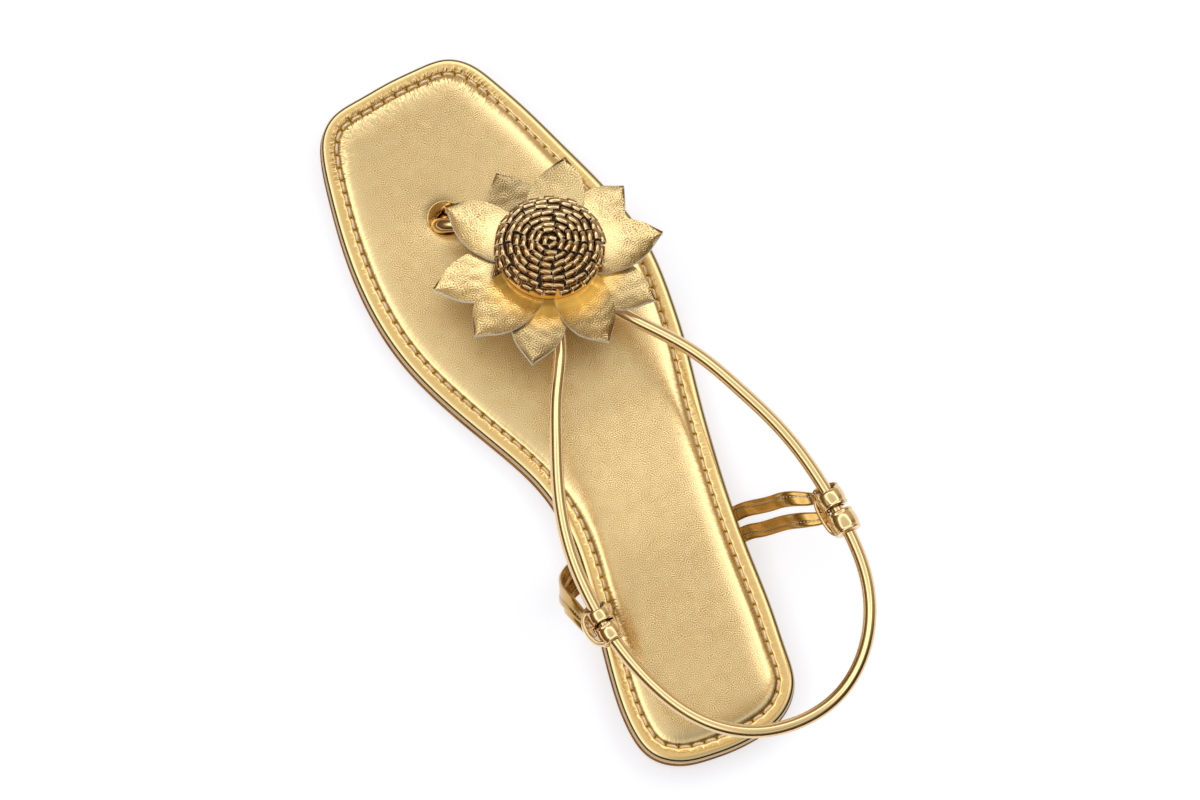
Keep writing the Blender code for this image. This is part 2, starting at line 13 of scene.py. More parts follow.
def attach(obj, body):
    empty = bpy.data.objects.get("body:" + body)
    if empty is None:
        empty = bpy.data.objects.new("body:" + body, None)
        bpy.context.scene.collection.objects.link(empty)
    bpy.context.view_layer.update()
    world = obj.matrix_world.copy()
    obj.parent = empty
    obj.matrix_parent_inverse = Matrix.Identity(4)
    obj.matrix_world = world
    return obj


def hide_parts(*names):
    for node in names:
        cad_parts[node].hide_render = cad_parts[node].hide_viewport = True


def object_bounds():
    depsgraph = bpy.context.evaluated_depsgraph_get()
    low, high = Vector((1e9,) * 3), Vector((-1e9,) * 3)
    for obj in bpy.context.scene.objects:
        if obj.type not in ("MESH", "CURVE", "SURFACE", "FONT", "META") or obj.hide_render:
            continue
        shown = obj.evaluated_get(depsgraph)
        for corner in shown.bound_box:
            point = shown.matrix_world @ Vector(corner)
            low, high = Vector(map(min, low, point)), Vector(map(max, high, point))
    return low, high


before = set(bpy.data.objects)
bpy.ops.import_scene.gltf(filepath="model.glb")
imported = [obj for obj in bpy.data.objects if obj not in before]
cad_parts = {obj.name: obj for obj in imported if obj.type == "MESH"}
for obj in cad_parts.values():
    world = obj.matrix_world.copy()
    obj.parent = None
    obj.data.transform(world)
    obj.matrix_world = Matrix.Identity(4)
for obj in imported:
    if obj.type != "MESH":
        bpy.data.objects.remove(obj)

cad_low, cad_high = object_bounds()
MM = 0.001

# ---- Camera -------------------------------------------------------------------------------------
# A long lens looks almost straight down on the standing shoe from behind the heel's inner side.
# Its roll keeps the toe up and to the left.

LENS_AT = Vector((-168.4, -219.0, 1477.2)) * MM
PICTURE_RIGHT = Vector((0.8922, -0.4517, 0.0))
centre = (cad_low + cad_high) / 2
back = (LENS_AT - Vector((centre.x, centre.y, 0.014))).normalized()
up = back.cross(PICTURE_RIGHT).normalized()
right = up.cross(back)
lens = bpy.data.cameras.new("studio_camera")
lens.sensor_width, lens.lens = 36.0, 136.67
lens.clip_start, lens.clip_end = 0.05, 30.0
camera = bpy.data.objects.new("studio_camera", lens)
camera.matrix_world = Matrix.Translation(LENS_AT) @ Matrix((right, up, back)).transposed().to_4x4()
bpy.context.scene.collection.objects.link(camera)
bpy.context.scene.camera = camera
bpy.context.scene.view_settings.view_transform = "Standard"

# ---- Studio light and floor ---------------------------------------------------------------------
# One big round softbox hangs over a white table, with a hole for the camera, so metal leather
# shows a bright broad band with a softer middle, and goes dark where it faces the low walls.


def hexed(code, alpha=1.0):
    """Linear colour of an sRGB hex code."""
    part = [int(code[i:i + 2], 16) / 255 for i in (1, 3, 5)]
    return *[c / 12.92 if c <= 0.04045 else ((c + 0.055) / 1.055) ** 2.4 for c in part], alpha


def add(tree, kind, inputs=None, stops=None, **settings):
    """Adds a node: its settings, its ramp's stops, and its inputs as values or linked sockets."""
    made = tree.nodes.new("ShaderNode" + kind)
    for key, value in settings.items():
        setattr(made, key, value)
    for i, (place, colour) in enumerate(stops or ()):
        ramp = made.color_ramp.elements
        stop = ramp[i] if i < min(2, len(ramp)) else ramp.new(place)
        stop.position, stop.color = place, colour
    for key, value in (inputs or {}).items():
        if isinstance(value, bpy.types.NodeSocket):
            tree.links.new(value, made.inputs[key])
        else:
            made.inputs[key].default_value = value
    return made


WHITE = "#ffffff"
# The studio by degrees from the zenith: brightness, tint. Its low walls are bare warm wood.
STUDIO = (
    (0, 0.84, "#fffaf0"),
    (12, 0.86, "#fffcf6"),
    (21, 0.9, WHITE),
    (29, 1.1, WHITE),
    (35, 2.2, WHITE),
    (40, 2.6, WHITE),
    (45, 1.0, WHITE),
    (51, 0.5, "#fff2dc"),
    (58, 0.22, "#ffd8a0"),
    (90, 0.12, "#ffc078"),
)
# A tall window beyond the outer side of the toe: its way, and how much it adds. The softbox is
# flagged off towards the heel, down to a share of its light.
WINDOW_WAY, WINDOW_LIGHT = (0.8, 0.6, 0.0), 0.45
FLAG_WAY, FLAGGED = (0.1, -0.99, 0.0), 0.4
# A colour ramp holds no more than 1, so the studio's rows are divided by this and lit by it.
LAMP = 5.0
world = bpy.data.worlds.new("white_studio")
bpy.context.scene.world = world
world.use_nodes = True
tree = world.node_tree
tree.nodes.clear()
way = add(tree, "TexCoord").outputs["Generated"]
tall = add(tree, "SeparateXYZ", {0: way}).outputs["Z"]
slope = add(tree, "Math", {0: tall}, operation="ARCCOSINE")
share = add(tree, "Math", {0: slope.outputs[0], 1: 2 / math.pi}, operation="MULTIPLY")
ramp = add(tree, "ValToRGB", {0: share.outputs[0]},
           [(d / 90 * 0.999, [v / LAMP * c for c in hexed(tint)[:3]] + [1])
            for d, v, tint in STUDIO])
outward = add(tree, "VectorMath", {0: way, 1: WINDOW_WAY}, operation="DOT_PRODUCT")
window = add(tree, "MapRange", {
    "Value": outward.outputs["Value"], "From Min": 0.55, "From Max": 0.95, "To Max": WINDOW_LIGHT},
    interpolation_type="SMOOTHSTEP")
heelward = add(tree, "VectorMath", {0: way, 1: FLAG_WAY}, operation="DOT_PRODUCT")
flagged = add(tree, "MapRange", {
    "Value": heelward.outputs["Value"], "From Min": 0.15, "From Max": 0.5, "To Min": LAMP,
    "To Max": LAMP * FLAGGED}, interpolation_type="SMOOTHSTEP")
sky = add(tree, "Background", {"Color": ramp.outputs[0], "Strength": flagged.outputs[0]})
glass = add(tree, "Background", {"Color": hexed("#fff8ec"), "Strength": window.outputs[0]})
both = add(tree, "AddShader", {0: sky.outputs[0], 1: glass.outputs[0]})
add(tree, "OutputWorld", {"Surface": both.outputs[0]})


def bare_material(name):
    """A new material and its emptied tree of nodes."""
    made = bpy.data.materials.new(name)
    made.use_nodes = True
    made.node_tree.nodes.clear()
    return made, made.node_tree


# White opal acrylic, sanded matt and faintly lit from below: the light table keeps shadows pale.
# The sanding is drawn a millimetre wide, coarser than real, so that it shows at all.
table, tree = bare_material("sanded_opal_acrylic")
tooth = add(tree, "TexNoise", {"Scale": 900.0, "Detail": 3.0})
bump = add(tree, "Bump", {"Height": tooth.outputs["Fac"], "Distance": 0.00002, "Strength": 0.3})
paint = add(tree, "BsdfPrincipled", {
    "Base Color": hexed("#c6cad4"), "Roughness": 0.75, "Specular IOR Level": 0.2,
    "Emission Color": hexed("#fefeff"), "Emission Strength": 0.6, "Normal": bump.outputs[0]})
add(tree, "OutputMaterial", {"Surface": paint.outputs[0]})
mesh = bpy.data.meshes.new("table_top")
disc = [(9 * math.cos(a), 9 * math.sin(a), 0.0) for a in np.linspace(0, 2 * math.pi, 97)[:-1]]
mesh.from_pydata(disc, [], [tuple(range(96))])
mesh.materials.append(table)
floor = bpy.data.objects.new("table_top", mesh)
bpy.context.scene.collection.objects.link(floor)

# ---- Outsole ------------------------------------------------------------------------------------
# Thin moulded rubber outsole, brown, its wall run with one fine groove and its tread cut with
# cross ribs under the ball of the foot.

# Edge of the sole: y along the foot, x of the inner edge, x of the outer edge.
SOLE_EDGE = (
    (-114.0, -27.3, 26.1),
    (-104.0, -29.3, 28.5),
    (-90.0, -27.9, 30.7),
    (-72.0, -23.9, 32.7),
    (-52.0, -19.7, 35.2),
    (-34.0, -17.6, 38.6),
    (-18.0, -19.5, 42.2),
    (0.0, -26.1, 46.6),
    (18.0, -33.6, 49.8),
    (38.0, -39.8, 51.3),
    (60.0, -42.0, 47.6),
    (80.0, -40.4, 41.5),
    (100.0, -36.4, 34.6),
    (110.0, -33.7, 30.3),
    (117.6, -29.9, 26.0),
)
# The two squared ends, from the inner side to the outer side: x, y.
TOE_END = ((-24.3, 121.9), (-13.0, 123.7), (-2.0, 124.4), (9.0, 124.3), (19.0, 122.9))
HEEL_END = ((-19.0, -121.4), (-10.5, -123.7), (-1.5, -124.8), (7.5, -124.7), (16.4, -122.8))
# Underside along the foot: y, height.
SOLE_LINE = ((-125.0, 3.3), (-74.0, 3.3), (-56.0, 3.6), (-38.0, 2.6), (-20.0, 0.9), (-6.0, 0.0),
             (78.0, 0.0), (100.0, 1.2), (125.0, 4.8))
# Wall: inset from the sole's edge, rise above the underside.
OUTSOLE_WALL = ((0.9, 0.0), (0.35, 0.15), (0.05, 0.6), (0.0, 1.2), (0.22, 1.42), (0.22, 1.6),
                (0.0, 1.82), (0.0, 2.5), (0.2, 2.85), (0.6, 3.0))
# Points round every ring of the sole: nine to each stitch of the seam, which lies 5.6 mm in.
STITCHES = 132
SEAM_INSET = 5.6
AROUND = 9 * STITCHES
RIBS = dict(pitch=4.6, depth=0.5, start=2.0, end=88.0)


def spline(points, closed=False):
    """Cubic spline through points: returns the function of distance, and each point's distance."""
    p = np.array(points, float)
    if closed:
        p = np.vstack([p, p[:1]])
    t = np.concatenate([[0.0], np.cumsum(np.linalg.norm(np.diff(p, axis=0), axis=1))])
    h, n = np.diff(t), len(p)
    rise = np.diff(p, axis=0) / h[:, None]
    a, b = np.zeros((n, n)), np.zeros_like(p)
    for i in range(1, n - 1):
        a[i, i - 1:i + 2] = h[i - 1], 2 * (h[i - 1] + h[i]), h[i]
        b[i] = 6 * (rise[i] - rise[i - 1])
    a[0, 0] = a[-1, -1] = 1.0
    if closed:
        a[0, -1] = -1.0
        a[-1, :2] += 2 * h[0], h[0]
        a[-1, -2:] = h[-1], 2 * h[-1]
        b[-1] = 6 * (rise[0] - rise[-1])
    m = np.linalg.solve(a, b)

    def at(distance):
        d = np.clip(np.atleast_1d(distance), 0.0, t[-1])
        i = np.clip(np.searchsorted(t, d, side="right") - 1, 0, n - 2)
        u, g = (d - t[i])[:, None], h[i][:, None]
        cubic = m[i] / 2 * u ** 2 + (m[i + 1] - m[i]) / (6 * g) * u ** 3
        return p[i] + (rise[i] - g * (2 * m[i] + m[i + 1]) / 6) * u + cubic

    return at, t


def profile(rows):
    """Smooth line through (station, value) rows that doesn't overshoot between them."""
    x, y = np.array(rows, float).T
    h = np.diff(x)
    s = np.diff(y) / h
    m = np.zeros_like(y)
    same = s[1:] * s[:-1] > 0
    m[1:-1][same] = 2 * s[1:][same] * s[:-1][same] / (s[1:][same] + s[:-1][same])
    m[0], m[-1] = s[0], s[-1]

    def at(station):
        q = np.clip(np.asarray(station, float), x[0], x[-1])
        i = np.clip(np.searchsorted(x, q, side="right") - 1, 0, len(x) - 2)
        u = (q - x[i]) / h[i]
        low = y[i] * (1 + 2 * u) * (1 - u) ** 2 + m[i] * h[i] * u * (1 - u) ** 2
        return low + y[i + 1] * u * u * (3 - 2 * u) + m[i + 1] * h[i] * u * u * (u - 1)

    return at


def inset(loop, distance):
    """The anticlockwise loop moved inwards."""
    run = np.roll(loop, -1, axis=0) - np.roll(loop, 1, axis=0)
    run /= np.linalg.norm(run, axis=1)[:, None]
    return loop + distance * np.column_stack([-run[:, 1], run[:, 0]])


def quads(rows, columns, ring=True, start=0):
    """Faces of a grid of points, each of its rows closed into a ring or open."""
    k = np.arange(columns if ring else columns - 1)
    r = np.arange(rows - 1)[:, None] * columns + start
    n = (k + 1) % columns
    return np.stack([r + k, r + n, r + columns + n, r + columns + k], -1).reshape(-1, 4)


def piece(name, points, faces, surfaces, stands_for=(), which=None, marks=None):
    """One mesh piece from points in millimetres, on the root body and in the CAD nodes' place."""
    made = bpy.data.meshes.new(name)
    made.from_pydata((np.asarray(points) * MM).tolist(), [], [tuple(map(int, f)) for f in faces])
    for surface in surfaces:
        made.materials.append(surface)
    if which is not None:
        made.polygons.foreach_set("material_index", np.asarray(which, np.int32))
    for key, values in (marks or {}).items():
        made.attributes.new(key, "FLOAT", "POINT").data.foreach_set("value", values)
    made.shade_smooth()
    made.validate()
    thing = bpy.data.objects.new(name, made)
    bpy.context.scene.collection.objects.link(thing)
    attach(thing, "root")
    if stands_for:
        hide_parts(*stands_for)
    return thing


sole_line = profile(SOLE_LINE)
lateral = [(x, y) for y, _, x in SOLE_EDGE]
medial = [(x, y) for y, x, _ in SOLE_EDGE]
edge_at, stations = spline(
    [*HEEL_END[2:], *lateral, *TOE_END[::-1], *medial[::-1], *HEEL_END[:2]], closed=True)
half = AROUND // 2
toe_mid = stations[len(lateral) + 5]
even = []
for first, end in ((0.0, toe_mid), (toe_mid, stations[-1])):
    d = np.linspace(first, end, 4000)
    line = inset(edge_at(d), SEAM_INSET)[1:-1]
    far = np.concatenate([[0], np.cumsum(np.linalg.norm(np.diff(line, axis=0), axis=1))])
    even.append(np.interp(np.linspace(0, far[-1], half + 1)[:-1], far, d[1:-1]))
edge = edge_at(np.concatenate(even))
middle = profile([(-125.0, -1.5), *[(y, (a + b) / 2) for y, a, b in SOLE_EDGE], (125.0, -2.0)])


def spine(ring):
    """The middle line of the sole, point for point with a ring round it."""
    y = 0.84 * ring[:, 1]
    y = (y + np.roll(y[::-1], 1)) / 2
    return np.column_stack([middle(y), y])


def inwards(ring, count):
    """Rings from just inside one to the middle line, with their share of the way."""
    core = spine(ring)
    return [(u, ring * (1 - u) + core * u) for u in np.linspace(0, 1, count + 1)[1:]]


def wall_rings(wall):
    """Rings up a wall of (inset, rise) rows."""
    return [np.column_stack([p, sole_line(p[:, 1]) + z])
            for d, z in wall for p in (inset(edge, d),)]


under = []
for u, p in inwards(inset(edge, OUTSOLE_WALL[0][0]), 14)[::-1]:
    phase = np.clip((p[:, 1] - RIBS["start"]) / (RIBS["end"] - RIBS["start"]), 0, 1)
    cut = np.cos(2 * math.pi * p[:, 1] / RIBS["pitch"]) > 0.45
    z = sole_line(p[:, 1]) + RIBS["depth"] * cut * (phase > 0) * (phase < 1) * (u > 0.18)
    under.append(np.column_stack([p, z]))
rings = under + wall_rings(OUTSOLE_WALL)
top_in = inset(edge, 2.6)
rings.append(np.column_stack([top_in, sole_line(top_in[:, 1]) + 3.0]))

# Injection-moulded thermoplastic rubber: satin brown in slow clouds, with a spark-eroded tooth
# that softens every glint, drawn half a millimetre wide, coarser than real.
rubber, tree = bare_material("moulded_brown_rubber")
spot = add(tree, "TexCoord").outputs["Object"]
tooth = add(tree, "TexNoise", {"Vector": spot, "Scale": 2200.0, "Detail": 2.0})
cloud = add(tree, "TexNoise", {"Vector": spot, "Scale": 90.0, "Detail": 4.0})
shade = add(tree, "ValToRGB", {0: cloud.outputs["Fac"]},
            [(0.3, hexed("#8e5c18")), (0.7, hexed("#b47e2e"))])
bump = add(tree, "Bump", {"Height": tooth.outputs["Fac"], "Distance": 0.00004, "Strength": 0.5})
skin = add(tree, "BsdfPrincipled", {
    "Base Color": shade.outputs[0], "Roughness": 0.42, "IOR": 1.52,
    "Specular IOR Level": 0.25, "Normal": bump.outputs[0]})
add(tree, "OutputMaterial", {"Surface": skin.outputs[0]})
piece("outsole_rubber", np.vstack(rings), quads(len(rings), AROUND), [rubber],
      ["outsole"])

# ---- Heel lift ----------------------------------------------------------------------------------
# Top piece under the heel, cut from a sheet of the same brown rubber with a curved breast, and
# glued on level with the tread.

LIFT_WALL = ((2.2, 0.0), (1.2, 0.0), (0.8, 0.15), (0.6, 0.5), (0.6, 2.6), (1.0, 3.0))
BREAST_Y, BREAST_CURVE = -72.0, 3.0
behind = edge[:, 1] < BREAST_Y
lateral_part = edge[:half][behind[:half]]
medial_part = edge[half:][behind[half:]]
step = np.linspace(0, 1, 62)[1:-1, None]
breast = lateral_part[-1] * (1 - step) + medial_part[0] * step
breast[:, 1] -= BREAST_CURVE * np.sin(math.pi * step[:, 0])
heel = np.vstack([lateral_part, breast, medial_part])
rings = [np.column_stack([inset(heel, d), np.full(len(heel), z)]) for d, z in LIFT_WALL]
count = len(heel)
faces = list(quads(len(rings), count))
faces += [tuple(range(count))[::-1], tuple(range((len(rings) - 1) * count, len(rings) * count))]
lift = piece("heel_lift_rubber", np.vstack(rings), faces, [rubber], ["heel_lift"])
lift.data.set_sharp_from_angle(angle=math.radians(50))

# ---- Midsole band -------------------------------------------------------------------------------
# A thin board between sock and outsole, its edge wrapped in the same gold leather with a soft
# rounded face: the second gold line round the shoe.

MIDSOLE_WALL = ((3.0, 3.32), (1.4, 3.32), (0.8, 3.5), (0.48, 3.9), (0.4, 4.4), (0.48, 4.9),
                (0.8, 5.3), (1.6, 5.5), (3.2, 5.5))


def foil_leather(name, light, deep, roughness, grain, depth, worked=False):
    """Leather under a gold foil laminate.

    light and deep are its colours on the ridges and in the creases, grain and depth the spacing
    and depth of its creases in mm. worked leather reads marks of its mesh, from 0 to 1: grain,
    how much is left where it is stretched; a glow mark, how much painted reflection and glow warm
    it to amber where gold would mirror gold; dark, how much painted shade darkens its needle
    holes, grooves, bores, dimples and petals, and a band along the sock's edge; and pull, where a
    seam folds it, its creases darkened by painted shade, with the place along and inside that seam
    (seam_x, seam_y, inward).
    """
    made, tree = bare_material(name)
    spot = add(tree, "TexCoord").outputs["Object"]
    # Long waves bend the creases; the creases themselves run in every direction.
    drift = add(tree, "TexNoise", {"Vector": spot, "Scale": 260.0, "Detail": 1.0})
    bent = add(tree, "VectorMath", {0: drift.outputs["Color"], 1: (0.0016, 0.0016, 0.0016),
                                    2: spot}, operation="MULTIPLY_ADD")
    crease = add(tree, "TexGabor", {
        "Vector": bent.outputs[0], "Scale": 500.0 / grain, "Frequency": 2.0, "Anisotropy": 0.0})
    # Pores are a third of a millimetre wide; how deep the creases are changes over 20 mm.
    fine = add(tree, "TexNoise", {"Vector": spot, "Scale": 2600.0, "Detail": 1.0})
    broad = add(tree, "TexNoise", {"Vector": spot, "Scale": 45.0, "Detail": 2.0})
    much = add(tree, "MapRange", {
        "Value": broad.outputs["Fac"], "From Min": 0.35, "From Max": 0.65,
        "To Min": 0.65, "To Max": 1.0}).outputs[0]
    left, polished = fine.outputs["Fac"], 0.04
    if worked:
        # Stretched leather has less grain, and is polished.
        left, polished = add(tree, "Attribute", attribute_name="grain").outputs["Fac"], 0.13
        much = add(tree, "Math", {0: much, 1: left}, operation="MULTIPLY").outputs[0]
    patchy = add(tree, "Math", {0: drift.outputs["Fac"], 1: 0.12, 2: crease.outputs["Value"]},
                 operation="MULTIPLY_ADD")
    grown = add(tree, "Mix", {0: much, 2: 0.61, 3: patchy.outputs[0]}).outputs[0]
    shade = add(tree, "ValToRGB", {0: grown}, [(0.36, hexed(deep)), (0.68, hexed(light))])
    colour = shade.outputs[0]
    if worked:
        # Painted reflection: where gold would mirror gold the colour is mixed towards amber.
        glow = add(tree, "Attribute", attribute_name="amber").outputs["Fac"]
        colour = add(tree, "Mix", {0: glow, 6: colour, 7: hexed("#ecb24e")},
                     data_type="RGBA").outputs[2]
        # Folds pulled into the seam: narrow across, long inwards.
        x, y, inward, pull = [add(tree, "Attribute", attribute_name=mark).outputs["Fac"]
                              for mark in ("seam_x", "seam_y", "inward", "pull")]
        inward = add(tree, "Math", {0: inward, 1: 0.22}, operation="MULTIPLY")
        along = add(tree, "CombineXYZ", {0: x, 1: y, 2: inward.outputs[0]})
        strokes = add(tree, "TexNoise", {"Vector": along.outputs[0], "Scale": 1.45, "Detail": 1.0})
        strokes = add(tree, "MapRange", {
            "Value": strokes.outputs["Fac"], "From Min": 0.36, "From Max": 0.6})
        folds = add(tree, "Math", {0: strokes.outputs[0], 1: pull}, operation="MULTIPLY")
        # Painted shade: the creases between the folds are darkened towards brown.
        dark = add(tree, "Math", {0: 1.0, 1: strokes.outputs[0]}, operation="SUBTRACT")
        dark = add(tree, "Math", {0: dark.outputs[0], 1: pull}, operation="MULTIPLY")
        dark = add(tree, "Math", {0: dark.outputs[0], 1: 0.4}, operation="MULTIPLY")
        colour = add(tree, "Mix", {0: dark.outputs[0], 6: colour, 7: hexed("#8a5f22")},
                     data_type="RGBA").outputs[2]
        # The dark mark, brown to near black: painted shade in needle holes, grooves, bores and
        # dimples, on shaded petals and under the drum, and a band along the sock's edge.
        pit = add(tree, "Attribute", attribute_name="dark").outputs["Fac"]
        colour = add(tree, "Mix", {0: pit, 6: colour, 7: hexed("#2a1806")},
                     data_type="RGBA").outputs[2]
        grown = add(tree, "Math", {0: folds.outputs[0], 1: 1.4, 2: grown},
                    operation="MULTIPLY_ADD").outputs[0]
    relief = add(tree, "Math", {0: fine.outputs["Fac"], 1: 0.06, 2: grown},
                 operation="MULTIPLY_ADD")
    bump = add(tree, "Bump", {
        "Height": relief.outputs[0], "Distance": 2 * depth * MM, "Strength": 1.0})
    rub = add(tree, "MapRange", {
        "Value": left, "To Min": roughness - polished, "To Max": roughness})
    skin = add(tree, "BsdfPrincipled", {
        "Base Color": colour, "Metallic": 1.0, "Roughness": rub.outputs[0],
        "Coat Weight": 0.7, "Coat Roughness": 0.12, "Normal": bump.outputs[0],
        "Coat Normal": bump.outputs[0]})
    if worked:
        # Painted glow: emission stands in for the light of gold reflected on gold all round it,
        # kept out of the dark marks.
        skin.inputs["Emission Color"].default_value = hexed("#ffcd62")
        lit = add(tree, "Math", {0: glow, 1: 2.0}, operation="POWER")
        clear = add(tree, "Math", {0: 0.9, 1: pit}, operation="SUBTRACT", use_clamp=True)
        lit = add(tree, "Math", {0: lit.outputs[0], 1: clear.outputs[0]}, operation="MULTIPLY")
        tree.links.new(lit.outputs[0], skin.inputs["Emission Strength"])
    add(tree, "OutputMaterial", {"Surface": skin.outputs[0]})
    return made


# Smooth foil leather pulled over the board's edge: tighter, so shinier and with a finer grain.
edge_leather = foil_leather("edge_wrapped_gold_foil_leather", "#cfa660", "#bd9048", 0.22, 0.8,
                            0.008)
rings = wall_rings(MIDSOLE_WALL)
piece("midsole_band", np.vstack(rings), quads(len(rings), AROUND), [edge_leather],
      ["midsole"])

# ---- Sock ---------------------------------------------------------------------------------------
# Padded footbed: gold foil leather over thin foam on a board, rolled over at the edge, sewn all
# round in a valley that gathers it into small puckers, and turned down into the toe-post hole.

# From under the edge over the ridge, down into the stitched valley and up the pad: inset, rise.
SOCK_WALL = (
    (3.4, 5.8), (2.2, 5.8), (1.0, 5.95), (0.5, 6.4), (0.45, 6.9), (0.65, 7.4), (1.05, 7.84),
    (1.6, 8.1), (2.2, 8.3), (2.9, 8.4), (3.7, 8.42), (4.5, 8.36), (5.05, 8.2), (5.35, 7.98),
    (5.6, 7.88), (5.85, 7.98), (6.2, 8.24), (7.0, 8.64), (8.4, 9.12), (10.8, 9.68))
SEAM_RISE = 7.88
POST_XY = np.array((-5.6, 74.6))
POST_OPENING = 5.85
# The pad's own shape starts this far in, inside the valley.
PAD_FROM = 7.0
# Rings up the wall, counted to a row of it: closest over the edge and at the seam.
WALL_RINGS = ((0, 0), (4, 3), (18, 7), (24, 11), (36, 16), (43, 19))
PAD_RINGS = 28
SOCK_MARKS = ("grain", "amber", "dark", "pull", "seam_x", "seam_y", "inward")


def pad_height(p, rise):
    """Heights of the padded top: the board's line, soft dips, and the dimple at the post hole."""
    x, y = p[:, 0], p[:, 1]
    away = np.hypot(x - POST_XY[0], y - POST_XY[1])
    z = sole_line(y) + rise
    z += 0.10 * np.sin(x / 11 + y / 29) * np.sin(y / 23 + 1.3) + 0.06 * np.sin(x / 7 - y / 17)
    return z - 0.75 * np.exp(-(away / 9.5) ** 2) - 0.35 * np.exp(-((away - 4.5) / 3.4) ** 2)


chance = np.random.default_rng(7)
seam = inset(edge, SEAM_INSET)
seam_run = np.linalg.norm(np.roll(seam, -1, axis=0) - seam, axis=1)
seam_length = seam_run.sum()
pitch = seam_length / STITCHES
phase = np.arange(AROUND) / 9
seam_s = phase * pitch
to_hole = pitch * np.abs((phase + 0.5) % 1 - 0.5)

# Puckers: where they start along the seam, how deep, how long, how wide, how much they lean.
n = round(seam_length / 2.0)
start = (np.arange(n) + chance.uniform(-0.35, 0.35, n)) * seam_length / n
deep = chance.uniform(0.03, 0.17, n) ** 1.2 * 1.35
long = chance.uniform(2.2, 7.5, n)
wide = chance.uniform(0.38, 0.75, n)
lean = chance.normal(0.0, 0.22, n)


def puckers(depth_in):
    """Drop of the surface along a ring so far inside the seam."""
    grow = np.clip(depth_in / 0.7, 0, 1) * np.clip(1 - (depth_in - 0.7) / long, 0, 1) ** 0.7
    away = seam_s[:, None] - (start + lean * depth_in)[None, :]
    away = (away + seam_length / 2) % seam_length - seam_length / 2
    return (deep * grow * np.exp(-(away / (wide * (1 + 0.12 * depth_in))) ** 2)).sum(1)


gathers = (np.arange(2 * STITCHES) + chance.uniform(-0.3, 0.3, 2 * STITCHES)) / 2
gather_deep = chance.uniform(0.0, 0.16, 2 * STITCHES)
away = (phase[:, None] - gathers[None, :] + STITCHES / 2) % STITCHES - STITCHES / 2
gathered = (gather_deep * np.exp(-(away * pitch / 0.4) ** 2)).sum(1)
pulled = 0.18 + 0.82 * np.clip((edge[:, 1] - 98) / 12, 0, 1)

wall_at, wall_s = spline(SOCK_WALL)
rings, marks = [], []
counted, row = np.array(WALL_RINGS).T
for d, z in wall_at(np.interp(np.arange(counted[-1] + 1), counted, wall_s[row])):
    p = inset(edge, d)
    height = pad_height(p, z) if d > PAD_FROM else sole_line(p[:, 1]) + z
    if z > 7.8:
        pinch = np.exp(-(to_hole / 0.45) ** 2) * math.exp(-((d - SEAM_INSET) / 0.35) ** 2)
        height -= 0.3 * pinch
        height -= 0.16 * np.exp(-(to_hole / 0.8) ** 2) * math.exp(-((d - 5.0) / 0.6) ** 2)
        height -= gathered * math.exp(-((d - 4.2) / 0.8) ** 2)
        if d > SEAM_INSET:
            height -= puckers(d - SEAM_INSET) * pulled
    rings.append(np.column_stack([p, height]))
    over = (z > 7.7) * np.ones(AROUND)
    # Painted reflection and glow: warmer gold in the stitched valley and across the margin.
    valley = (0.32 * math.exp(-((d - SEAM_INSET) / 0.6) ** 2)
              + 0.26 * min(1, max(0, d - 1.4)) * min(1, max(0, (7.5 - d) / 2)))
    pull = (1.5 * math.exp(-((d - 4.1) / 0.9) ** 2) * (d < 5.2) + (d > SEAM_INSET)
            * min(1, (d - SEAM_INSET) / 0.8) * max(0, 1 - (d - SEAM_INSET) / 6.5) ** 0.8)
    # A darker band round the rolled edge, with a thin lighter line inside it.
    dark_share = 0.75 * (z > 6.6) * (math.exp(-((d - 0.9) / 0.55) ** 4)
                              - 0.6 * math.exp(-((d - 0.72) / 0.1) ** 2))
    # Painted shade in the needle holes.
    hole = 1.5 * np.exp(-(to_hole / 0.42) ** 2 - ((d - SEAM_INSET) / 0.42) ** 2)
    marks.append((min(1, max(0.05, (d - 8) / 5)) * over, valley * over,
                  dark_share + over * np.minimum(1, hole),
                  pull * pulled * over, *seam.T, d + 0 * over))
rim = inset(edge, SOCK_WALL[-1][0])
for u, p in inwards(rim, PAD_RINGS):
    inside = np.linalg.norm(p - rim, axis=1)
    height = pad_height(p, SOCK_WALL[-1][1] + 0.62 * (1 - np.exp(-inside / 3.0)))
    height -= puckers(SOCK_WALL[-1][0] - SEAM_INSET + inside.mean()) * pulled
    rings.append(np.column_stack([p, height]))
    reach = SOCK_WALL[-1][0] + inside
    pull = np.clip(1 - (reach - SEAM_INSET) / 6.5, 0, 1) ** 0.8
    # Painted shade on the toe side of the post hole, and a painted glow on the other.
    beyond = p - POST_XY
    away = np.linalg.norm(beyond, axis=1)
    toeward = beyond @ (-0.31, 0.95) / away
    marks.append((np.clip((reach - 8) / 5, 0.05, 1),
                  0.5 * np.clip(-toeward, 0, 1) * np.exp(-((away - 6.0) / 1.5) ** 2),
                  0.5 * np.clip(toeward, 0, 1) * np.exp(-((away - 6.2) / 1.5) ** 2),
                  pull * pulled, *seam.T, reach))
points = np.vstack(rings)
faces = quads(len(rings), AROUND)
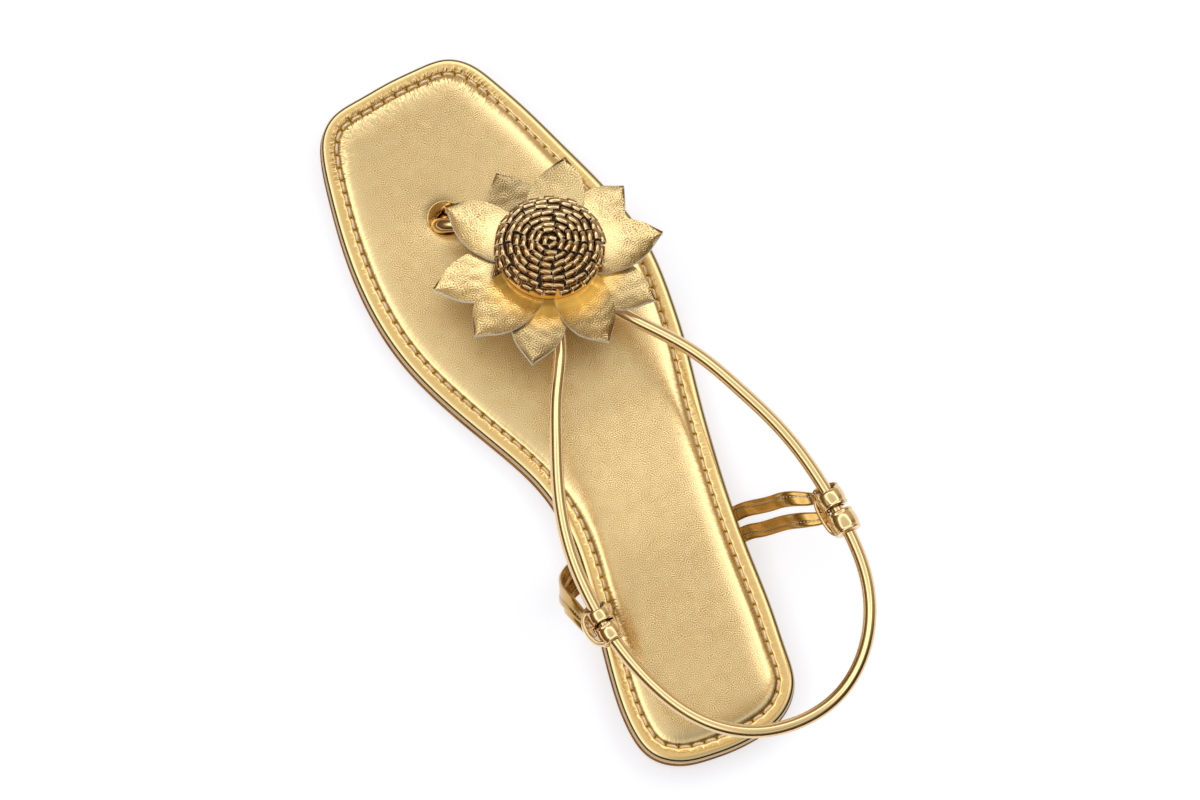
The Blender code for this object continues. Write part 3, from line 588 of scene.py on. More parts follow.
# The two halves meet on the middle line, and the hole is opened round the toe post.
last = (len(rings) - 1) * AROUND
k = np.arange(AROUND)
merged = np.arange(len(points))
merged[last:] = last + np.minimum(k, (AROUND - k) % AROUND)
faces = merged[faces]
off = points[:, :2] - POST_XY
away = np.linalg.norm(off, axis=1)
near = (away < POST_OPENING) & (points[:, 2] > 9.0)
faces = faces[~near[faces].all(axis=1)]
points[near, :2] = POST_XY + off[near] / away[near, None] * POST_OPENING
used = np.unique(faces)
fresh = np.zeros(len(points), int)
fresh[used] = np.arange(len(used))
# Split leather with gold foil laminate: a wavy crackled grain just under a millimetre wide, with
# warmer gold in its creases, smooth where it is stretched at the seam.
sock_leather = foil_leather("grained_gold_foil_leather", "#efd79e", "#b88c47", 0.32, 0.66, 0.05,
                            worked=True)
marks = {mark: np.concatenate([m[i] for m in marks])[used] for i, mark in enumerate(SOCK_MARKS)}
sock = piece("padded_sock", points[used], fresh[faces], [sock_leather],
             ["insole"], marks=marks)

# ---- Seam thread --------------------------------------------------------------------------------
# Cream waxed polyester thread, lock-stitched round the sock. Each stitch bridges two needle holes
# and pulls down into them, a little askew to the line of the seam.

THREAD_RADIUS = 0.31


def across_to(path, hint):
    """Unit ways across and up beside paths, the way across as near as can be to the hint."""
    run = np.gradient(path, axis=-2)
    run /= np.linalg.norm(run, axis=-1, keepdims=True)
    side = hint - (hint * run).sum(-1, keepdims=True) * run
    side /= np.linalg.norm(side, axis=-1, keepdims=True)
    return side, np.cross(run, side)


def swept(path, section, hint, size=None):
    """Rings of points: the (across, up) section carried along paths, scaled by size."""
    side, over = across_to(path, hint)
    size = np.ones(path.shape[:-1]) if size is None else size
    a = section[:, :1] * size[..., None, None]
    b = section[:, 1:] * size[..., None, None]
    return path[..., None, :] + a * side[..., None, :] + b * over[..., None, :]


def each(faces, count, points):
    """The same faces for so many like pieces of so many points each."""
    return (faces[None] + (np.arange(count) * points)[:, None, None]).reshape(-1, faces.shape[1])


def along_seam(s, sideways=0.0):
    """Points of the seam line at distances along it, moved inwards by sideways."""
    s = np.asarray(s) % seam_length
    ends = np.concatenate([seam_s, [seam_length]])
    loop = np.vstack([seam, seam[:1]])
    at = np.stack([np.interp(s, ends, loop[:, i]) for i in (0, 1)], -1)
    ahead = np.stack([np.interp((s + 0.5) % seam_length, ends, loop[:, i]) for i in (0, 1)], -1)
    run = (ahead - at) / np.linalg.norm(ahead - at, axis=-1, keepdims=True)
    left = np.stack([-run[..., 1], run[..., 0]], -1)
    return at + left * np.asarray(sideways)[..., None], left


u = np.linspace(0, 1, 11)
s = (np.arange(STITCHES)[:, None] + 0.15 + 0.70 * u) * pitch
skew = chance.normal(0.13, 0.04, STITCHES)[:, None] * (1 - 2 * u)
at, left = along_seam(s, skew)
arch = 0.30 - 0.75 * np.abs(2 * u - 1) ** 3.5 + 0 * s
path = np.dstack([at, sole_line(at[..., 1]) + SEAM_RISE + arch])
turn = np.linspace(0, 2 * math.pi, 9)[:-1]
round_section = np.column_stack([np.cos(turn), 0.86 * np.sin(turn)])
size = THREAD_RADIUS * np.clip(1.25 - 0.9 * np.abs(2 * u - 1) ** 6, 0.2, 1.0) + 0 * s
hint = np.dstack([left, np.zeros(s.shape)])
points = swept(path, round_section, hint, size)

# Spun polyester thread under wax: cream, silky, with a mottle where the fibres show, drawn at
# 0.6 mm, coarser than real.
thread, tree = bare_material("waxed_cream_thread")
spot = add(tree, "TexCoord").outputs["Object"]
fibre = add(tree, "TexNoise", {"Vector": spot, "Scale": 1700.0, "Detail": 2.0})
shade = add(tree, "ValToRGB", {0: fibre.outputs["Fac"]},
            [(0.25, hexed("#ecd8a4")), (0.55, hexed("#fff8ea"))])
bump = add(tree, "Bump", {"Height": fibre.outputs["Fac"], "Distance": 0.00003, "Strength": 0.6})
skin = add(tree, "BsdfPrincipled", {
    "Base Color": shade.outputs[0], "Roughness": 0.5, "Sheen Weight": 0.3, "IOR": 1.5,
    "Normal": bump.outputs[0]})
add(tree, "OutputMaterial", {"Surface": skin.outputs[0]})
piece("seam_stitches", points.reshape(-1, 3), each(quads(11, 8), STITCHES, 88), [thread])

# ---- Toe-post hole ------------------------------------------------------------------------------
# The punched hole where both ends of the cord go down, lined with smooth gold leather whose lip
# is turned over the sock.

# Lining from its lip to the bottom, where it closes round the two cord ends: share of the way
# in from the lip to them, drop below the pad's surface.
LINING = ((-0.22, 0.14), (-0.15, -0.03), (-0.08, -0.13), (0.0, -0.12), (0.08, 0.0), (0.22, 0.2),
          (0.45, 0.48), (0.68, 0.85), (0.86, 1.2), (0.96, 1.6), (1.0, 2.1), (1.0, 2.6))
LINING_RADIUS, LIP_RADIUS, LIP_RISE = 5.8, 6.0, 10.35
# The two cord ends side by side: their way across, half their width, half their thickness.
PAIR = np.array((4.8, 1.9)) / math.hypot(4.8, 1.9)
PAIR_HALF, PAIR_THIN = 5.0, 2.7
turn = np.linspace(0, 2 * math.pi, 97)[:-1]
ways = np.column_stack([np.cos(turn), np.sin(turn)])
lip = pad_height(POST_XY + LIP_RADIUS * ways, LIP_RISE)
closed = np.hypot(ways @ PAIR / PAIR_HALF, ways @ (-PAIR[1], PAIR[0]) / PAIR_THIN) ** -1
rings = [np.column_stack([
    POST_XY + (LINING_RADIUS + u * (closed - LINING_RADIUS))[:, None] * ways, lip - drop])
    for u, drop in LINING]
faces = [*quads(len(rings), 96)[:, ::-1], tuple(range(len(rings) * 96 - 96, len(rings) * 96))]
# The same foil leather pressed smooth, in warmer colours: a painted reflection of gold mirroring
# gold deep in the bowl.
lining_leather = foil_leather("pressed_gold_foil_leather", "#ecc882", "#cf9f50", 0.22, 0.7, 0.004)
piece("post_hole_lining", np.vstack(rings), faces, [lining_leather])

# ---- Cord strap ---------------------------------------------------------------------------------
# One length of rolled leather cord: foil leather glued round a round core, butted in a fine seam
# underneath, from the hole round the heel and back, flattened in faint facets by the rolling.

CORD_RADIUS = 2.2
# Route from the hole round the heel and back into the hole: x, y, z.
CORD_ROUTE = (
    (-8.0, 74.0, 3.3),
    (-8.7, 73.7, 7.8),
    (-7.3, 72.4, 11.0),
    (-3.0, 69.7, 13.5),
    (2.8, 63.4, 16.6),
    (8.2, 52.0, 20.4),
    (10.6, 36.0, 24.2),
    (6.7, 17.0, 27.8),
    (-2.3, 2.2, 31.0),
    (-9.3, -10.9, 33.6),
    (-17.6, -29.0, 36.4),
    (-22.8, -47.4, 39.0),
    (-24.2, -62.6, 40.8),
    (-23.9, -74.0, 41.9),
    (-22.2, -86.4, 43.6),
    (-18.3, -100.6, 46.3),
    (-10.6, -114.8, 48.8),
    (1.6, -124.9, 49.9),
    (15.2, -128.7, 49.7),
    (29.8, -127.3, 48.0),
    (43.6, -119.4, 44.9),
    (52.9, -108.2, 41.8),
    (57.7, -97.2, 39.7),
    (59.8, -85.4, 38.2),
    (60.2, -73.0, 36.8),
    (59.8, -62.4, 35.7),
    (58.5, -50.0, 34.5),
    (55.9, -37.8, 33.4),
    (51.2, -23.1, 31.8),
    (45.1, -7.1, 29.2),
    (38.0, 5.3, 26.6),
    (31.6, 14.8, 24.6),
    (24.8, 26.4, 22.8),
    (19.8, 38.0, 21.2),
    (14.8, 52.0, 18.8),
    (9.0, 63.6, 16.4),
    (3.6, 70.4, 14.8),
    (-0.2, 73.6, 13.1),
    (-2.7, 75.6, 9.6),
    (-3.2, 75.9, 3.3),
)
CORD_STEPS, CORD_SIDES = 900, 32
# Where the cord bends up out of the hole it is folded fatter: how far along, half length, share.
FOLD = (6.0, 4.0, 0.22)
# Facets of the rolling: waves round the cord, height in mm, drift in turns along its length.
FACETS = ((5, 0.012, 0.6), (7, 0.012, -0.9), (11, 0.007, 1.7), (3, 0.014, 0.4))

# Tight smooth foil leather: near mirror-like, its grain stretched almost flat.
strap_leather = foil_leather("rolled_gold_foil_leather", "#e8ca94", "#e2bf86", 0.17, 0.7, 0.001)
cord_at, cord_s = spline(CORD_ROUTE)
s = np.linspace(0, cord_s[-1], CORD_STEPS)
cord = cord_at(s)
run = np.gradient(cord, axis=0)
run /= np.linalg.norm(run, axis=1)[:, None]
side = np.array((1.0, 0.0, 0.0))
sides = []
for r in run:
    side = side - side.dot(r) * r
    side /= np.linalg.norm(side)
    sides.append(side)
sides = np.array(sides)
overs = np.cross(run, sides)
turn = np.linspace(0, 2 * math.pi, CORD_SIDES + 1)[:-1]
radius = np.full((CORD_STEPS, CORD_SIDES), CORD_RADIUS - 0.02)
for waves, tall, drift in FACETS:
    slip = 2 * math.pi * drift * (s / cord_s[-1] + 0.1 * np.sin(s / 31))
    radius += tall * np.cos(waves * turn[None, :] + slip[:, None])
radius[:, 3] -= 0.09
radius *= 1 + FOLD[2] * np.exp(-((s[:, None] - FOLD[0]) / FOLD[1]) ** 2)
points = (cord[:, None] + radius[..., None] * (np.cos(turn)[None, :, None] * sides[:, None]
                                              + np.sin(turn)[None, :, None] * overs[:, None]))
faces = [*quads(CORD_STEPS, CORD_SIDES), tuple(range(CORD_SIDES))[::-1],
         tuple(range((CORD_STEPS - 1) * CORD_SIDES, CORD_STEPS * CORD_SIDES))]
piece("rolled_cord", points.reshape(-1, 3), faces, [strap_leather],
      ["strap_cord"])

# ---- Ankle loops --------------------------------------------------------------------------------
# Each loop is one folded strap, edges turned and sewn, hitched round the cord: two snug wraps, the
# bight between them, and two tails that run down between sock and outsole.

# The length and radius of a wrap, where the wraps sit on the cord (y), how far along the cord the
# tails join, the side of the cord, in degrees from +X towards +Z, of the tails and of the bight,
# the bight's reach, how the tails twist half way up, how far off their middle they are sewn (share
# of their width), and the tails bend by bend: x, y, height (None at the midsole's level).
LOOPS = {
    "medial": {
        "leg": -1,
        "wrap": (6.2, 4.1),
        "wrap_y": (-69.3, -76.0),
        "joins": (0.3, 2.4),
        "tail_side": 176.0,
        "bight_side": 178.0,
        "bight_reach": 6.2,
        "lean": (1.0, 0.0, 0.5),
        "sewn": (-0.1, -0.1),
        "tails": (
            ((-12.0, -48.2, None), (-17.0, -48.2, None), (-21.2, -48.5, 9.4),
             (-24.7, -50.0, 13.4), (-28.2, -53.0, 19.6), (-30.0, -56.8, 26.4),
             (-29.4, -62.2, 33.4)),
            ((-13.0, -53.8, None), (-18.0, -53.8, None), (-22.0, -53.9, 9.4),
             (-25.4, -55.0, 13.4), (-28.6, -57.0, 19.6), (-30.2, -60.2, 26.8),
             (-29.6, -65.2, 33.8)),
        ),
    },
    "lateral": {
        "leg": 1,
        "wrap": (7.6, 4.75),
        "wrap_y": (-68.6, -77.4),
        "joins": (3.0, 4.6),
        "tail_side": 166.0,
        "bight_side": 217.0,
        "bight_reach": 5.9,
        "lean": (0.0, 0.0, 0.0),
        "sewn": (0.14, -0.12),
        "tails": (
            ((26.0, -56.2, None), (31.4, -56.2, None), (35.6, -56.3, 9.6), (38.6, -57.2, 13.6),
             (44.0, -59.8, 22.0), (50.6, -62.9, 30.8)),
            ((26.0, -63.4, None), (31.0, -63.4, None), (35.0, -63.6, 9.6), (38.2, -65.0, 13.8),
             (44.1, -67.3, 22.6), (51.0, -71.0, 31.6)),
        ),
    },
}
# The tails lie this high over the underside inside the sole, and meet the wraps along a short
# lead, this far off the cord and this much narrower, from a share of their length on.
TAIL_LEVEL, TAIL_LEAD, TAIL_OFF = 4.4, 3.2, 0.48
TAIL_WIDTH, TAIL_THICKNESS = 5.2, 1.6
TAIL_NARROWER, TAIL_FROM = 0.35, 0.72
TAIL_RINGS = 70
# Stitches of the tails: first and last, their pitch, half length and thread radius.
TAIL_SEAM = dict(start=8.0, end=2.5, pitch=1.15, half=0.24, radius=0.14)
BIGHT_WIDTH, BIGHT_THICKNESS, BIGHT_OFF = 3.6, 1.3, 1.23
WRAP_BORE = CORD_RADIUS + 0.12
# The bight from one wrap to the other: wrap, share of its reach out, share of half a wrap along.
BIGHT_BENDS = ((0, 0.0, 1.0), (0, 0.57, 0.53), (0, 0.93, -0.5), (1, 0.93, 0.5),
               (1, 0.57, -0.53), (1, 0.0, -1.0))
# A wrap from the mouth of its bore over the rolled rim to its middle: share of half its length,
# share of its wall.
WRAP_SHAPE = ((0.7, 0.0), (0.88, 0.05), (0.97, 0.25), (1.0, 0.5), (0.98, 0.74), (0.93, 0.88),
              (0.86, 0.93), (0.77, 0.91), (0.68, 0.86), (0.57, 0.9), (0.4, 0.965), (0.2, 0.995))
# The bore at the toe side, open, with painted shade inside: share of half the length and of the
# wall, how dark the painted shade is.
MOUTH = ((0.3, 0.0, 0.9), (0.6, 0.3, 0.9), (0.8, 0.5, 0.85), (0.93, 0.62, 0.3), (1.0, 0.7, 0.0),
         (1.0, 0.84, 0.0))
# How far the first and the second wrap lean back at the top of their mouth.
MOUTH_LEAN = (2.1, 0.5)


def strap(width, thickness, groove=0.0, sewn=0.0):
    """Section (across, up) of a flat strap with turned round edges and a groove on both faces."""
    w, t = width / 2, thickness / 2
    bend = np.linspace(-math.pi / 2, math.pi / 2, 7)
    flat = np.linspace(1, -1, 15)[1:-1] * (w - t)
    section = []
    for way in (1, -1):
        belly = t * (1 + 0.06 * np.cos(flat / w * math.pi / 2))
        belly -= groove * np.exp(-((flat - way * sewn * width) / 0.32) ** 2)
        section += [way * np.column_stack([w - t + t * np.cos(bend), t * np.sin(bend)]),
                    way * np.column_stack([flat, belly])]
    return np.vstack(section)


def beside(centre, axis, degrees, radius):
    """Point beside the cord, at an angle from +X towards +Z, and the way round it there."""
    x_way = np.array((1.0, 0, 0)) - axis[0] * axis
    x_way /= np.linalg.norm(x_way)
    z_way = np.cross(axis, x_way)
    z_way *= math.copysign(1.0, z_way[2])
    a = math.radians(degrees)
    return (centre + radius * (math.cos(a) * x_way + math.sin(a) * z_way),
            math.cos(a) * z_way - math.sin(a) * x_way)


def wrap_points(centre, axis, length, radius, mouth_lean):
    """Grid of one wrap, from bore to bore over its outside, with small creases at the rims."""
    shape = [(-a, r) for a, r in WRAP_SHAPE] + [(0.0, 1.0)]
    shape += [*WRAP_SHAPE[:4:-1], *[(a, r) for a, r, _ in MOUTH[::-1]]]
    turn = np.linspace(0, 2 * math.pi, 73)[:-1]
    x_way, _ = beside(np.zeros(3), axis, 0.0, 1.0)
    y_way = np.cross(axis, x_way)
    along = np.array([a for a, _ in shape])[:, None] * length / 2
    share = np.array([r for _, r in shape])[:, None]
    reach = WRAP_BORE + share * (radius - WRAP_BORE) + 0 * turn
    for _ in range(16):
        a0 = chance.choice((-1, 1)) * length / 2 * chance.uniform(0.45, 1.0)
        t0, w = chance.uniform(0, 2 * math.pi), chance.uniform(0.06, 0.13)
        gap = np.abs((turn - t0 + math.pi) % (2 * math.pi) - math.pi)
        dent = chance.uniform(0.04, 0.14) * np.exp(-(gap / w) ** 2)
        reach -= share * dent * np.exp(-((along - a0) / (0.16 * length)) ** 2)
    slack = 0.1 * np.sin(turn + chance.uniform(0, 6)) + 0.05 * np.sin(3 * turn + a0)
    # The mouth leans back on the toe side, open to the top.
    toeward = np.clip(2 * along / length, 0, 1) ** 2
    slack = slack - mouth_lean * toeward * math.copysign(1, y_way[2]) * np.sin(turn)
    spread = along * (1 + 0.02 * np.sin(2 * turn + a0)) + slack
    ring = np.cos(turn)[None, :, None] * x_way + np.sin(turn)[None, :, None] * y_way
    return centre + spread[..., None] * axis + reach[..., None] * ring


# The tails are cut across the hide's back: duller, browner foil than the cord.
tail_leather = foil_leather("turned_gold_foil_leather", "#d2a858", "#b4883e", 0.4, 0.7, 0.006,
                            worked=True)

for name, loop in LOOPS.items():
    # The points of this leg of the cord that are near the loop.
    leg = np.flatnonzero((cord[:, 0] * loop["leg"] > 15) & (abs(cord[:, 1] + 72.5) < 17.5))
    length, radius = loop["wrap"]
    parts, faces, which, dark_shares, wraps, dashes = [], [], [], [], [], []

    def keep(grid, ring_faces, closed=True, surface=0, dark_share=0.0):
        """Adds a grid of rings to the loop's mesh, its two ends closed."""
        which.extend(np.broadcast_to(surface, len(ring_faces) + 2 * closed))
        dark_shares.append((dark_share + np.zeros(grid.shape[:2])).ravel())
        first = sum(map(len, parts))
        flat = grid.reshape(-1, 3)
        parts.append(flat)
        faces.extend(ring_faces + first)
        if closed:
            n = grid.shape[1]
            faces.append(tuple(first + i for i in range(n))[::-1])
            faces.append(tuple(first + len(flat) - n + i for i in range(n)))

    for y, join, bends, sewn, mouth_lean in zip(
            loop["wrap_y"], loop["joins"], loop["tails"], loop["sewn"], MOUTH_LEAN):
        i = leg[np.argmin(abs(cord[leg, 1] - y))]
        axis = run[i] * math.copysign(1.0, run[i][1])
        wraps.append((cord[i], axis))
        grid = wrap_points(cord[i], axis, length, radius, mouth_lean)
        ring = quads(*grid.shape[:2])
        n = (grid.shape[0] - 1) * 72
        inner = np.column_stack([n + np.arange(72), n + (np.arange(72) + 1) % 72,
                                 (np.arange(72) + 1) % 72, np.arange(72)])
        # The rows of the mouth and the bore take the duller leather, whose dark mark paints their
        # shade.
        mouth = np.arange(len(ring) + 72) >= len(ring) - 72 * (len(MOUTH) - 1)
        dark_share = np.zeros((len(grid), 1))
        dark_share[-len(MOUTH):, 0] = [dark for _, _, dark in MOUTH[::-1]]
        keep(grid, np.vstack([ring, inner])[:, ::-1], closed=False, surface=mouth, dark_share=dark_share)

        level = [(x, y, float(sole_line(y)) + TAIL_LEVEL if z is None else z) for x, y, z in bends]
        reach = CORD_RADIUS + TAIL_OFF + TAIL_THICKNESS / 2
        end, way = beside(cord[i] + join * axis, axis, loop["tail_side"], reach)
        way = way * math.copysign(1.0, np.dot(way, end - np.array(level[-1])))
        tail_at, tail_s = spline([*level, end - TAIL_LEAD * way, end])

        def broad_way(share):
            """The way across the tail at shares of its length."""
            share = share[..., None]
            twist = np.exp(-((share - 0.66) / 0.2) ** 2) * np.array(loop["lean"])
            return (1 - share ** 2) * np.array([0.0, 1.0, 0.0]) + share ** 2 * axis + twist

        share = np.linspace(0, 1, TAIL_RINGS)
        section = strap(TAIL_WIDTH, TAIL_THICKNESS, 0.16, sewn)
        size = 1 - TAIL_NARROWER * np.clip((share - TAIL_FROM) / (1 - TAIL_FROM), 0, 1) ** 1.5
        grid = swept(tail_at(share * tail_s[-1]), section, broad_way(share), size)
        # Painted shade along the sewn groove of the tails.
        dark_share = 0.6 * np.exp(-((section[:, 0] - sewn * TAIL_WIDTH) / 0.3) ** 2)
        keep(grid, quads(*grid.shape[:2]), surface=1, dark_share=dark_share)
        # A row of tiny stitches sunk in the groove of both faces.
        s = np.arange(TAIL_SEAM["start"], tail_s[-1] - TAIL_SEAM["end"], TAIL_SEAM["pitch"])
        s = s[:, None] + np.linspace(-TAIL_SEAM["half"], TAIL_SEAM["half"], 5)
        line = tail_at(s.ravel()).reshape(-1, 5, 3)
        side, over = across_to(line, broad_way(s / tail_s[-1]))
        line = line + sewn * TAIL_WIDTH * side
        dashes += [line + face * (TAIL_THICKNESS / 2 - 0.12) * over for face in (1, -1)]

    foot = CORD_RADIUS + BIGHT_OFF
    bight = []
    for k, out, along in BIGHT_BENDS:
        centre, axis = wraps[k]
        point, way = beside(centre, axis, loop["bight_side"],
                            foot + out * (loop["bight_reach"] - foot))
        bight.append(point + along * (length / 2 - 1.0) * axis)
    bight_at, bight_s = spline(bight)
    path = bight_at(np.linspace(0, bight_s[-1], 40))
    grid = swept(path, strap(BIGHT_WIDTH, BIGHT_THICKNESS), way)
    keep(grid, quads(*grid.shape[:2]))
    piece(f"ankle_loop_{name}_leather", np.vstack(parts), faces, [strap_leather, tail_leather],
          [f"ankle_loop_{name}"], which, {"dark": np.concatenate(dark_shares)})

    paths = np.concatenate(dashes)
    turn = np.linspace(0, 2 * math.pi, 7)[:-1]
    section = np.column_stack([np.cos(turn), np.sin(turn)])
    size = TAIL_SEAM["radius"] * np.array([0.3, 0.9, 1.0, 0.9, 0.3]) + np.zeros(paths.shape[:2])
    grid = swept(paths, section, np.array([0.0, 0.3, 1.0]), size)
    piece(f"ankle_loop_{name}_stitches", grid.reshape(-1, 3),
          each(quads(5, 6), len(paths), 30), [thread])

# ---- Petals -------------------------------------------------------------------------------------
# Ten leaf-shaped petals die-cut from crinkled foil leather in two rosettes of five, pressed into
# shallow cups. The cut shows the pale backing of the leather along every edge.

FLOWER_CENTRE = np.array((16.8, 44.4, 24.2))
FLOWER_FACES = np.array((0.117, 0.231, 0.966))
PETAL_THICKNESS = 1.25
# Petal outline from near the rosette's middle to its tip: distance, half width.
PETAL_SHAPE = ((9.0, 6.0), (13.0, 8.0), (18.0, 9.2), (22.0, 9.2), (25.5, 8.6), (29.0, 7.2),
               (32.0, 5.0), (34.6, 2.3), (36.8, 0.04))
# Each rosette: height of its underside, cupping, and its petals: turn in degrees, how far the tip
# reaches, leans aside and lifts, and how much painted shade darkens it.
ROSETTES = {
    "lower": (0.0, 0.6, (
        (15.0, 35.8, 3.0, 1.0, 0.08),
        (96.5, 35.6, -2.6, -1.0, 0.42),
        (169.9, 39.8, 1.6, 1.2, 0.0),
        (233.9, 39.6, 1.0, 0.6, 0.28),
        (310.0, 38.0, -0.8, 1.0, 0.2),
    )),
    "upper": (1.5, 1.0, (
        (60.0, 34.6, -3.2, 3.2, 0.05),
        (130.6, 37.4, -1.1, 3.6, 0.0),
        (206.6, 39.0, -1.2, 1.4, 0.0),
        (279.8, 37.7, -3.9, 2.2, 0.06),
        (343.0, 37.7, 0.7, 3.2, 0.0),
    )),
}
# The side on which the petals' roots get a painted glow, standing for the drum's gold reflected on
# them.
DRUM_GLOW = math.radians(258)
# The petals are pressed together up to the drum's foot, and start to lift beyond it; a tip's
# reach and lean are measured on the part that shows.
PETAL_FLAT = 18.8
PETAL_HELD = 13.0
PETAL_START, PETAL_TIP = PETAL_SHAPE[0][0], PETAL_SHAPE[-1][0]
PETAL_ROWS, PETAL_COLUMNS = 46, 31

flower_z = FLOWER_FACES / np.linalg.norm(FLOWER_FACES)
flower_x = np.array((1.0, 0, 0)) - flower_z[0] * flower_z
flower_x /= np.linalg.norm(flower_x)
to_world = np.vstack([flower_x, np.cross(flower_z, flower_x), flower_z])
half_width = profile(PETAL_SHAPE)

# Crinkled foil on thin split leather: bright ridges, warm creases, a hammered sparkle.
petal_foil = foil_leather("crinkled_gold_foil_leather", "#ecd59c", "#ac823a", 0.27, 0.8, 0.052,
                          worked=True)
# The raw cut edge and the back: undyed fibre, matt and pale, its nap drawn at half a millimetre.
raw_edge, tree = bare_material("raw_cut_leather_fibre")
spot = add(tree, "TexCoord").outputs["Object"]
nap = add(tree, "TexNoise", {"Vector": spot, "Scale": 1800.0, "Detail": 3.0})
shade = add(tree, "ValToRGB", {0: nap.outputs["Fac"]},
            [(0.3, hexed("#e9ddc4")), (0.7, hexed("#fbf6ea"))])
bump = add(tree, "Bump", {"Height": nap.outputs["Fac"], "Distance": 0.0001, "Strength": 0.6})
skin = add(tree, "BsdfPrincipled", {
    "Base Color": shade.outputs[0], "Roughness": 0.85, "IOR": 1.45, "Normal": bump.outputs[0]})
add(tree, "OutputMaterial", {"Surface": skin.outputs[0]})

# The edge of a petal's grid of points, in order round it.
grid_at = np.arange(PETAL_ROWS * PETAL_COLUMNS).reshape(PETAL_ROWS, PETAL_COLUMNS)
rim = np.concatenate([grid_at[0], grid_at[1:, -1], grid_at[-1, -2::-1], grid_at[-2:0:-1, 0]])
petal_size = PETAL_ROWS * PETAL_COLUMNS
for name, (base, cup, petals) in ROSETTES.items():
    parts, faces, which, glows, creased, darker = [], [], [], [], [], []
    for angle, reach, lean, lift, painted_shade in petals:
        angle = math.radians(angle)
        r = np.linspace(0, 1, PETAL_ROWS)[:, None] ** 0.9
        r = r * (PETAL_TIP - PETAL_START) + PETAL_START
        t = np.linspace(-1, 1, PETAL_COLUMNS)[None, :]
        out = PETAL_HELD + (r - PETAL_HELD) * (reach - PETAL_HELD) / (PETAL_TIP - PETAL_HELD)
        flat_x = out + 0 * t
        flat_y = t * half_width(r) + lean * np.clip((r - 15.0) / (PETAL_TIP - 15.0), 0, 1)
        beyond = np.hypot(flat_x, flat_y) - PETAL_FLAT
        share = np.clip(beyond / (reach - PETAL_FLAT), 0, None) ** 1.3
        z = base + 1.0 + (lift + cup * t * t) * share
        for _ in range(9):
            spin, long_wave = chance.uniform(0, math.pi), chance.uniform(2.8, 7.0)
            wave = math.cos(spin) * flat_x + math.sin(spin) * flat_y
            wave = np.sin(2 * math.pi * wave / long_wave + chance.uniform(0, 6))
            z = z + 0.012 * wave * np.clip((flat_x - 19) / 6, 0, 1)
        x = flat_x * math.cos(angle) - flat_y * math.sin(angle)
        y = flat_x * math.sin(angle) + flat_y * math.cos(angle)
        upper = np.stack([x, y, z], -1).reshape(-1, 3)
        first = sum(map(len, parts))
        parts += [upper, upper - (0, 0, PETAL_THICKNESS)]
        inner = np.clip((27.0 - r - 3.0 * t * t) / 8.0, 0, 1) + 0 * t
        # Painted glow on the roots facing the glow side; painted shade, each petal's own share and
        # more near the drum's foot.
        glows += [1.1 * inner.ravel() * max(0.0, math.cos(angle - DRUM_GLOW))] * 2
        darker += [(painted_shade + 0.4 * np.clip((20.5 - r) / 4, 0, 1) + 0 * t).ravel()] * 2
        creased += [1 - 0.75 * inner.ravel()] * 2
        sheet = quads(PETAL_ROWS, PETAL_COLUMNS, ring=False)
        rim_next = np.roll(rim, -1)
        cut = np.column_stack([rim, rim_next, rim_next + petal_size, rim + petal_size])
        faces += [sheet[:, ::-1] + first, sheet + first + petal_size, cut + first]
        which += [np.zeros(len(sheet)), np.ones(len(sheet)), np.ones(len(cut))]
    points = np.vstack(parts) @ to_world + FLOWER_CENTRE
    rosette = piece(f"petals_{name}_foil", points, np.vstack(faces), [petal_foil, raw_edge],
                    [f"petals_{name}"], np.concatenate(which),
                    {"amber": np.concatenate(glows), "grain": np.concatenate(creased),
                     "dark": np.concatenate(darker)})
    rosette.data.set_sharp_from_angle(angle=math.radians(45))

# ---- Drum ---------------------------------------------------------------------------------------
# Stiff drum under the beads: a foam disc wrapped in the cord's smooth gold leather, a hair wider
# at its foot, glued on the rosettes.

# From the middle of the foot round the side to the middle of the top: radius, height.
DRUM_SECTION = ((0.0, 2.9), (16.3, 2.9), (16.55, 3.2), (16.5, 4.6), (16.4, 7.0), (16.3, 8.8),
                (16.1, 9.6), (15.4, 10.1), (0.0, 10.1))


def turned(section, segments):
    """Points and faces of a shape turned about the flower's axis from (radius, height) rows."""
    turn = np.linspace(0, 2 * math.pi, segments + 1)[:-1]
    grid = [np.column_stack([max(r, 0.01) * np.cos(turn), max(r, 0.01) * np.sin(turn),
                             np.full(segments, z)]) for r, z in section]
    return np.vstack(grid) @ to_world + FLOWER_CENTRE, quads(len(section), segments)


points, faces = turned(DRUM_SECTION, 96)
piece("flower_drum_leather", points, faces, [strap_leather], ["flower_drum"])

# ---- Beads --------------------------------------------------------------------------------------
# Bronze-lined glass bugle beads couched end to end in rings on a dark felt pad, the outer ring
# lying on its rim. They sit a little unevenly, as hand-sewn beads do.

# Rings of beads from the rim inwards: radius, height of the beads' middles.
BEAD_RINGS = ((17.1, 9.2), (15.5, 10.9), (13.2, 11.45), (10.9, 11.75), (8.6, 12.0), (6.3, 12.15),
              (4.0, 12.25), (1.6, 12.3))
BEAD_RADIUS, BEAD_LENGTH = 1.17, 4.1
